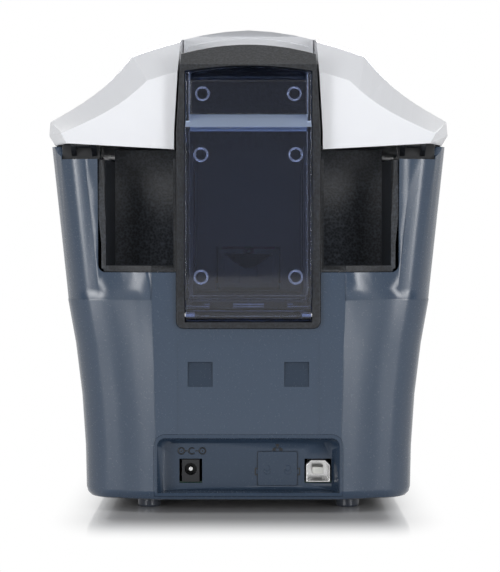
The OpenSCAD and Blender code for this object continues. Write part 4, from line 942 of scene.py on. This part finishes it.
class PRINTER_OT_hood(PrinterOperator, bpy.types.Operator):
    """Hood with its liner and print head"""

    bl_idname = "printer.hood"
    bl_label = "Hood"

    def execute(self, context):
        hood = refine("hood_cover", bevel=0, smooth=14)
        make_brow()
        make_baffles()
        hinge = joint_place("hood_hinge")
        finish_faces(hood, "satin_black", lambda at: KNUCKLES[0] < abs(at.x) < KNUCKLES[1]
                     and abs(at.y - hinge.y) < KNUCKLE_REACH[0] and abs(at.z - hinge.z) < KNUCKLE_REACH[1])
        refine("hood_liner", bevel=0)
        refine("print_head", bevel=0.2)
        return {"FINISHED"}


class PRINTER_OT_feeder(PrinterOperator, bpy.types.Operator):
    """Feeder frame, hopper, gate, spring and clear door"""

    bl_idname = "printer.feeder"
    bl_label = "Feeder"

    def execute(self, context):
        refine("spine_frame", bevel=0.35)
        refine("card_hopper", bevel=0)
        refine("card_gate", bevel=0.2)
        door = refine("feeder_door", bevel=0.5, segments=3, smooth=50)
        ledge = door_ledge()
        # Painted sheen: the ledge faces get the pale colour
        finish_faces(door, "frosted_ledge", lambda at: ledge[0] < at.z < ledge[1])
        spring = refine("gate_spring", bevel=0, smooth=60)
        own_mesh(spring)
        return {"FINISHED"}


class PRINTER_OT_sockets(PrinterOperator, bpy.types.Operator):
    """Socket recess with its sockets and blanking plate"""

    bl_idname = "printer.sockets"
    bl_label = "Sockets"

    def execute(self, context):
        refine("connector_panel", bevel=0)
        for node in ("power_jack", "power_pin", "network_blank", "usb_shell", "usb_tongue"):
            refine(node, bevel=0.15)
        make_polarity_mark()
        make_network_mark()
        make_blank_details()
        return {"FINISHED"}


class PRINTER_OT_front(PrinterOperator, bpy.types.Operator):
    """Front panel, lights, buttons, output tray and its door"""

    bl_idname = "printer.front"
    bl_label = "Front"

    def execute(self, context):
        refine("front_panel", bevel=0)
        refine("output_bin", bevel=0.3)
        refine("output_door", bevel=0)
        refine("release_button", bevel=0.5, segments=3)
        refine("feed_button", bevel=0.5, segments=3)
        refine("status_lights", bevel=0.2)
        return {"FINISHED"}


class PRINTER_OT_works(PrinterOperator, bpy.types.Operator):
    """Chassis, rollers, gears, ribbon and electronics"""

    bl_idname = "printer.works"
    bl_label = "Works"

    def execute(self, context):
        shown = {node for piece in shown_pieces() for node in piece.get("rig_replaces", [])}
        turned = ("_shaft", "_tyre", "_roll", "_spool", "_studs", "_pins", "_roller", "_bushes", "_screws")
        for node in sorted(set(NODES) - shown):
            if node.endswith(turned):
                refine(node, bevel=0.15)
            else:
                paint(node)
        return {"FINISHED"}


class PRINTER_OT_stage(PrinterOperator, bpy.types.Operator):
    """Floor, lamps, white surroundings and camera"""

    bl_idname = "printer.stage"
    bl_label = "Stage"

    def execute(self, context):
        stage = context.scene.printer_stage
        make_floor(stage.shadow_reach)
        make_world(context.scene, stage.ambient)
        for name, side in (("Left strip", 1), ("Right strip", -1)):
            place = (side * STRIP_DISTANCE * math.sin(stage.strip_turn),
                     STRIP_DISTANCE * math.cos(stage.strip_turn), STRIP_HEIGHT)
            make_lamp(name, place, *STRIP_SIZE, stage.strip_power)
        for name, place, size, power in LAMPS:
            make_lamp(name, place, *size, getattr(stage, power))
        make_camera(context.scene, stage)
        return {"FINISHED"}


class PRINTER_PT_sidebar(bpy.types.Panel):
    """Steps and settings of the card printer"""

    bl_label = "Card printer"
    bl_idname = "PRINTER_PT_sidebar"
    bl_space_type = "VIEW_3D"
    bl_region_type = "UI"
    bl_category = "Card printer"

    def draw(self, context):
        for step in STEPS:
            self.layout.operator(step.bl_idname)
        for group in (context.scene.printer_finish, context.scene.printer_stage):
            box = self.layout.box()
            for key in group.__annotations__:
                box.prop(group, key)


STEPS = (
    PRINTER_OT_materials, PRINTER_OT_casing, PRINTER_OT_hood, PRINTER_OT_feeder, PRINTER_OT_sockets,
    PRINTER_OT_front, PRINTER_OT_works, PRINTER_OT_stage,
)
CLASSES = (FinishSettings, StageSettings, *STEPS, PRINTER_PT_sidebar)


def register():
    """Makes the steps, the settings and the sidebar known to Blender."""
    for cls in CLASSES:
        bpy.utils.register_class(cls)
    bpy.types.Scene.printer_finish = bpy.props.PointerProperty(type=FinishSettings)
    bpy.types.Scene.printer_stage = bpy.props.PointerProperty(type=StageSettings)


def unregister():
    """Takes them all away again."""
    del bpy.types.Scene.printer_finish
    del bpy.types.Scene.printer_stage
    for cls in reversed(CLASSES):
        bpy.utils.unregister_class(cls)


def main():
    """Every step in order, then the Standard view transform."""
    register()
    for step in STEPS:
        group, name = step.bl_idname.split(".")
        getattr(getattr(bpy.ops, group), name)()
    bpy.context.scene.view_settings.view_transform = "Standard"


if __name__ == "__main__":
    main()
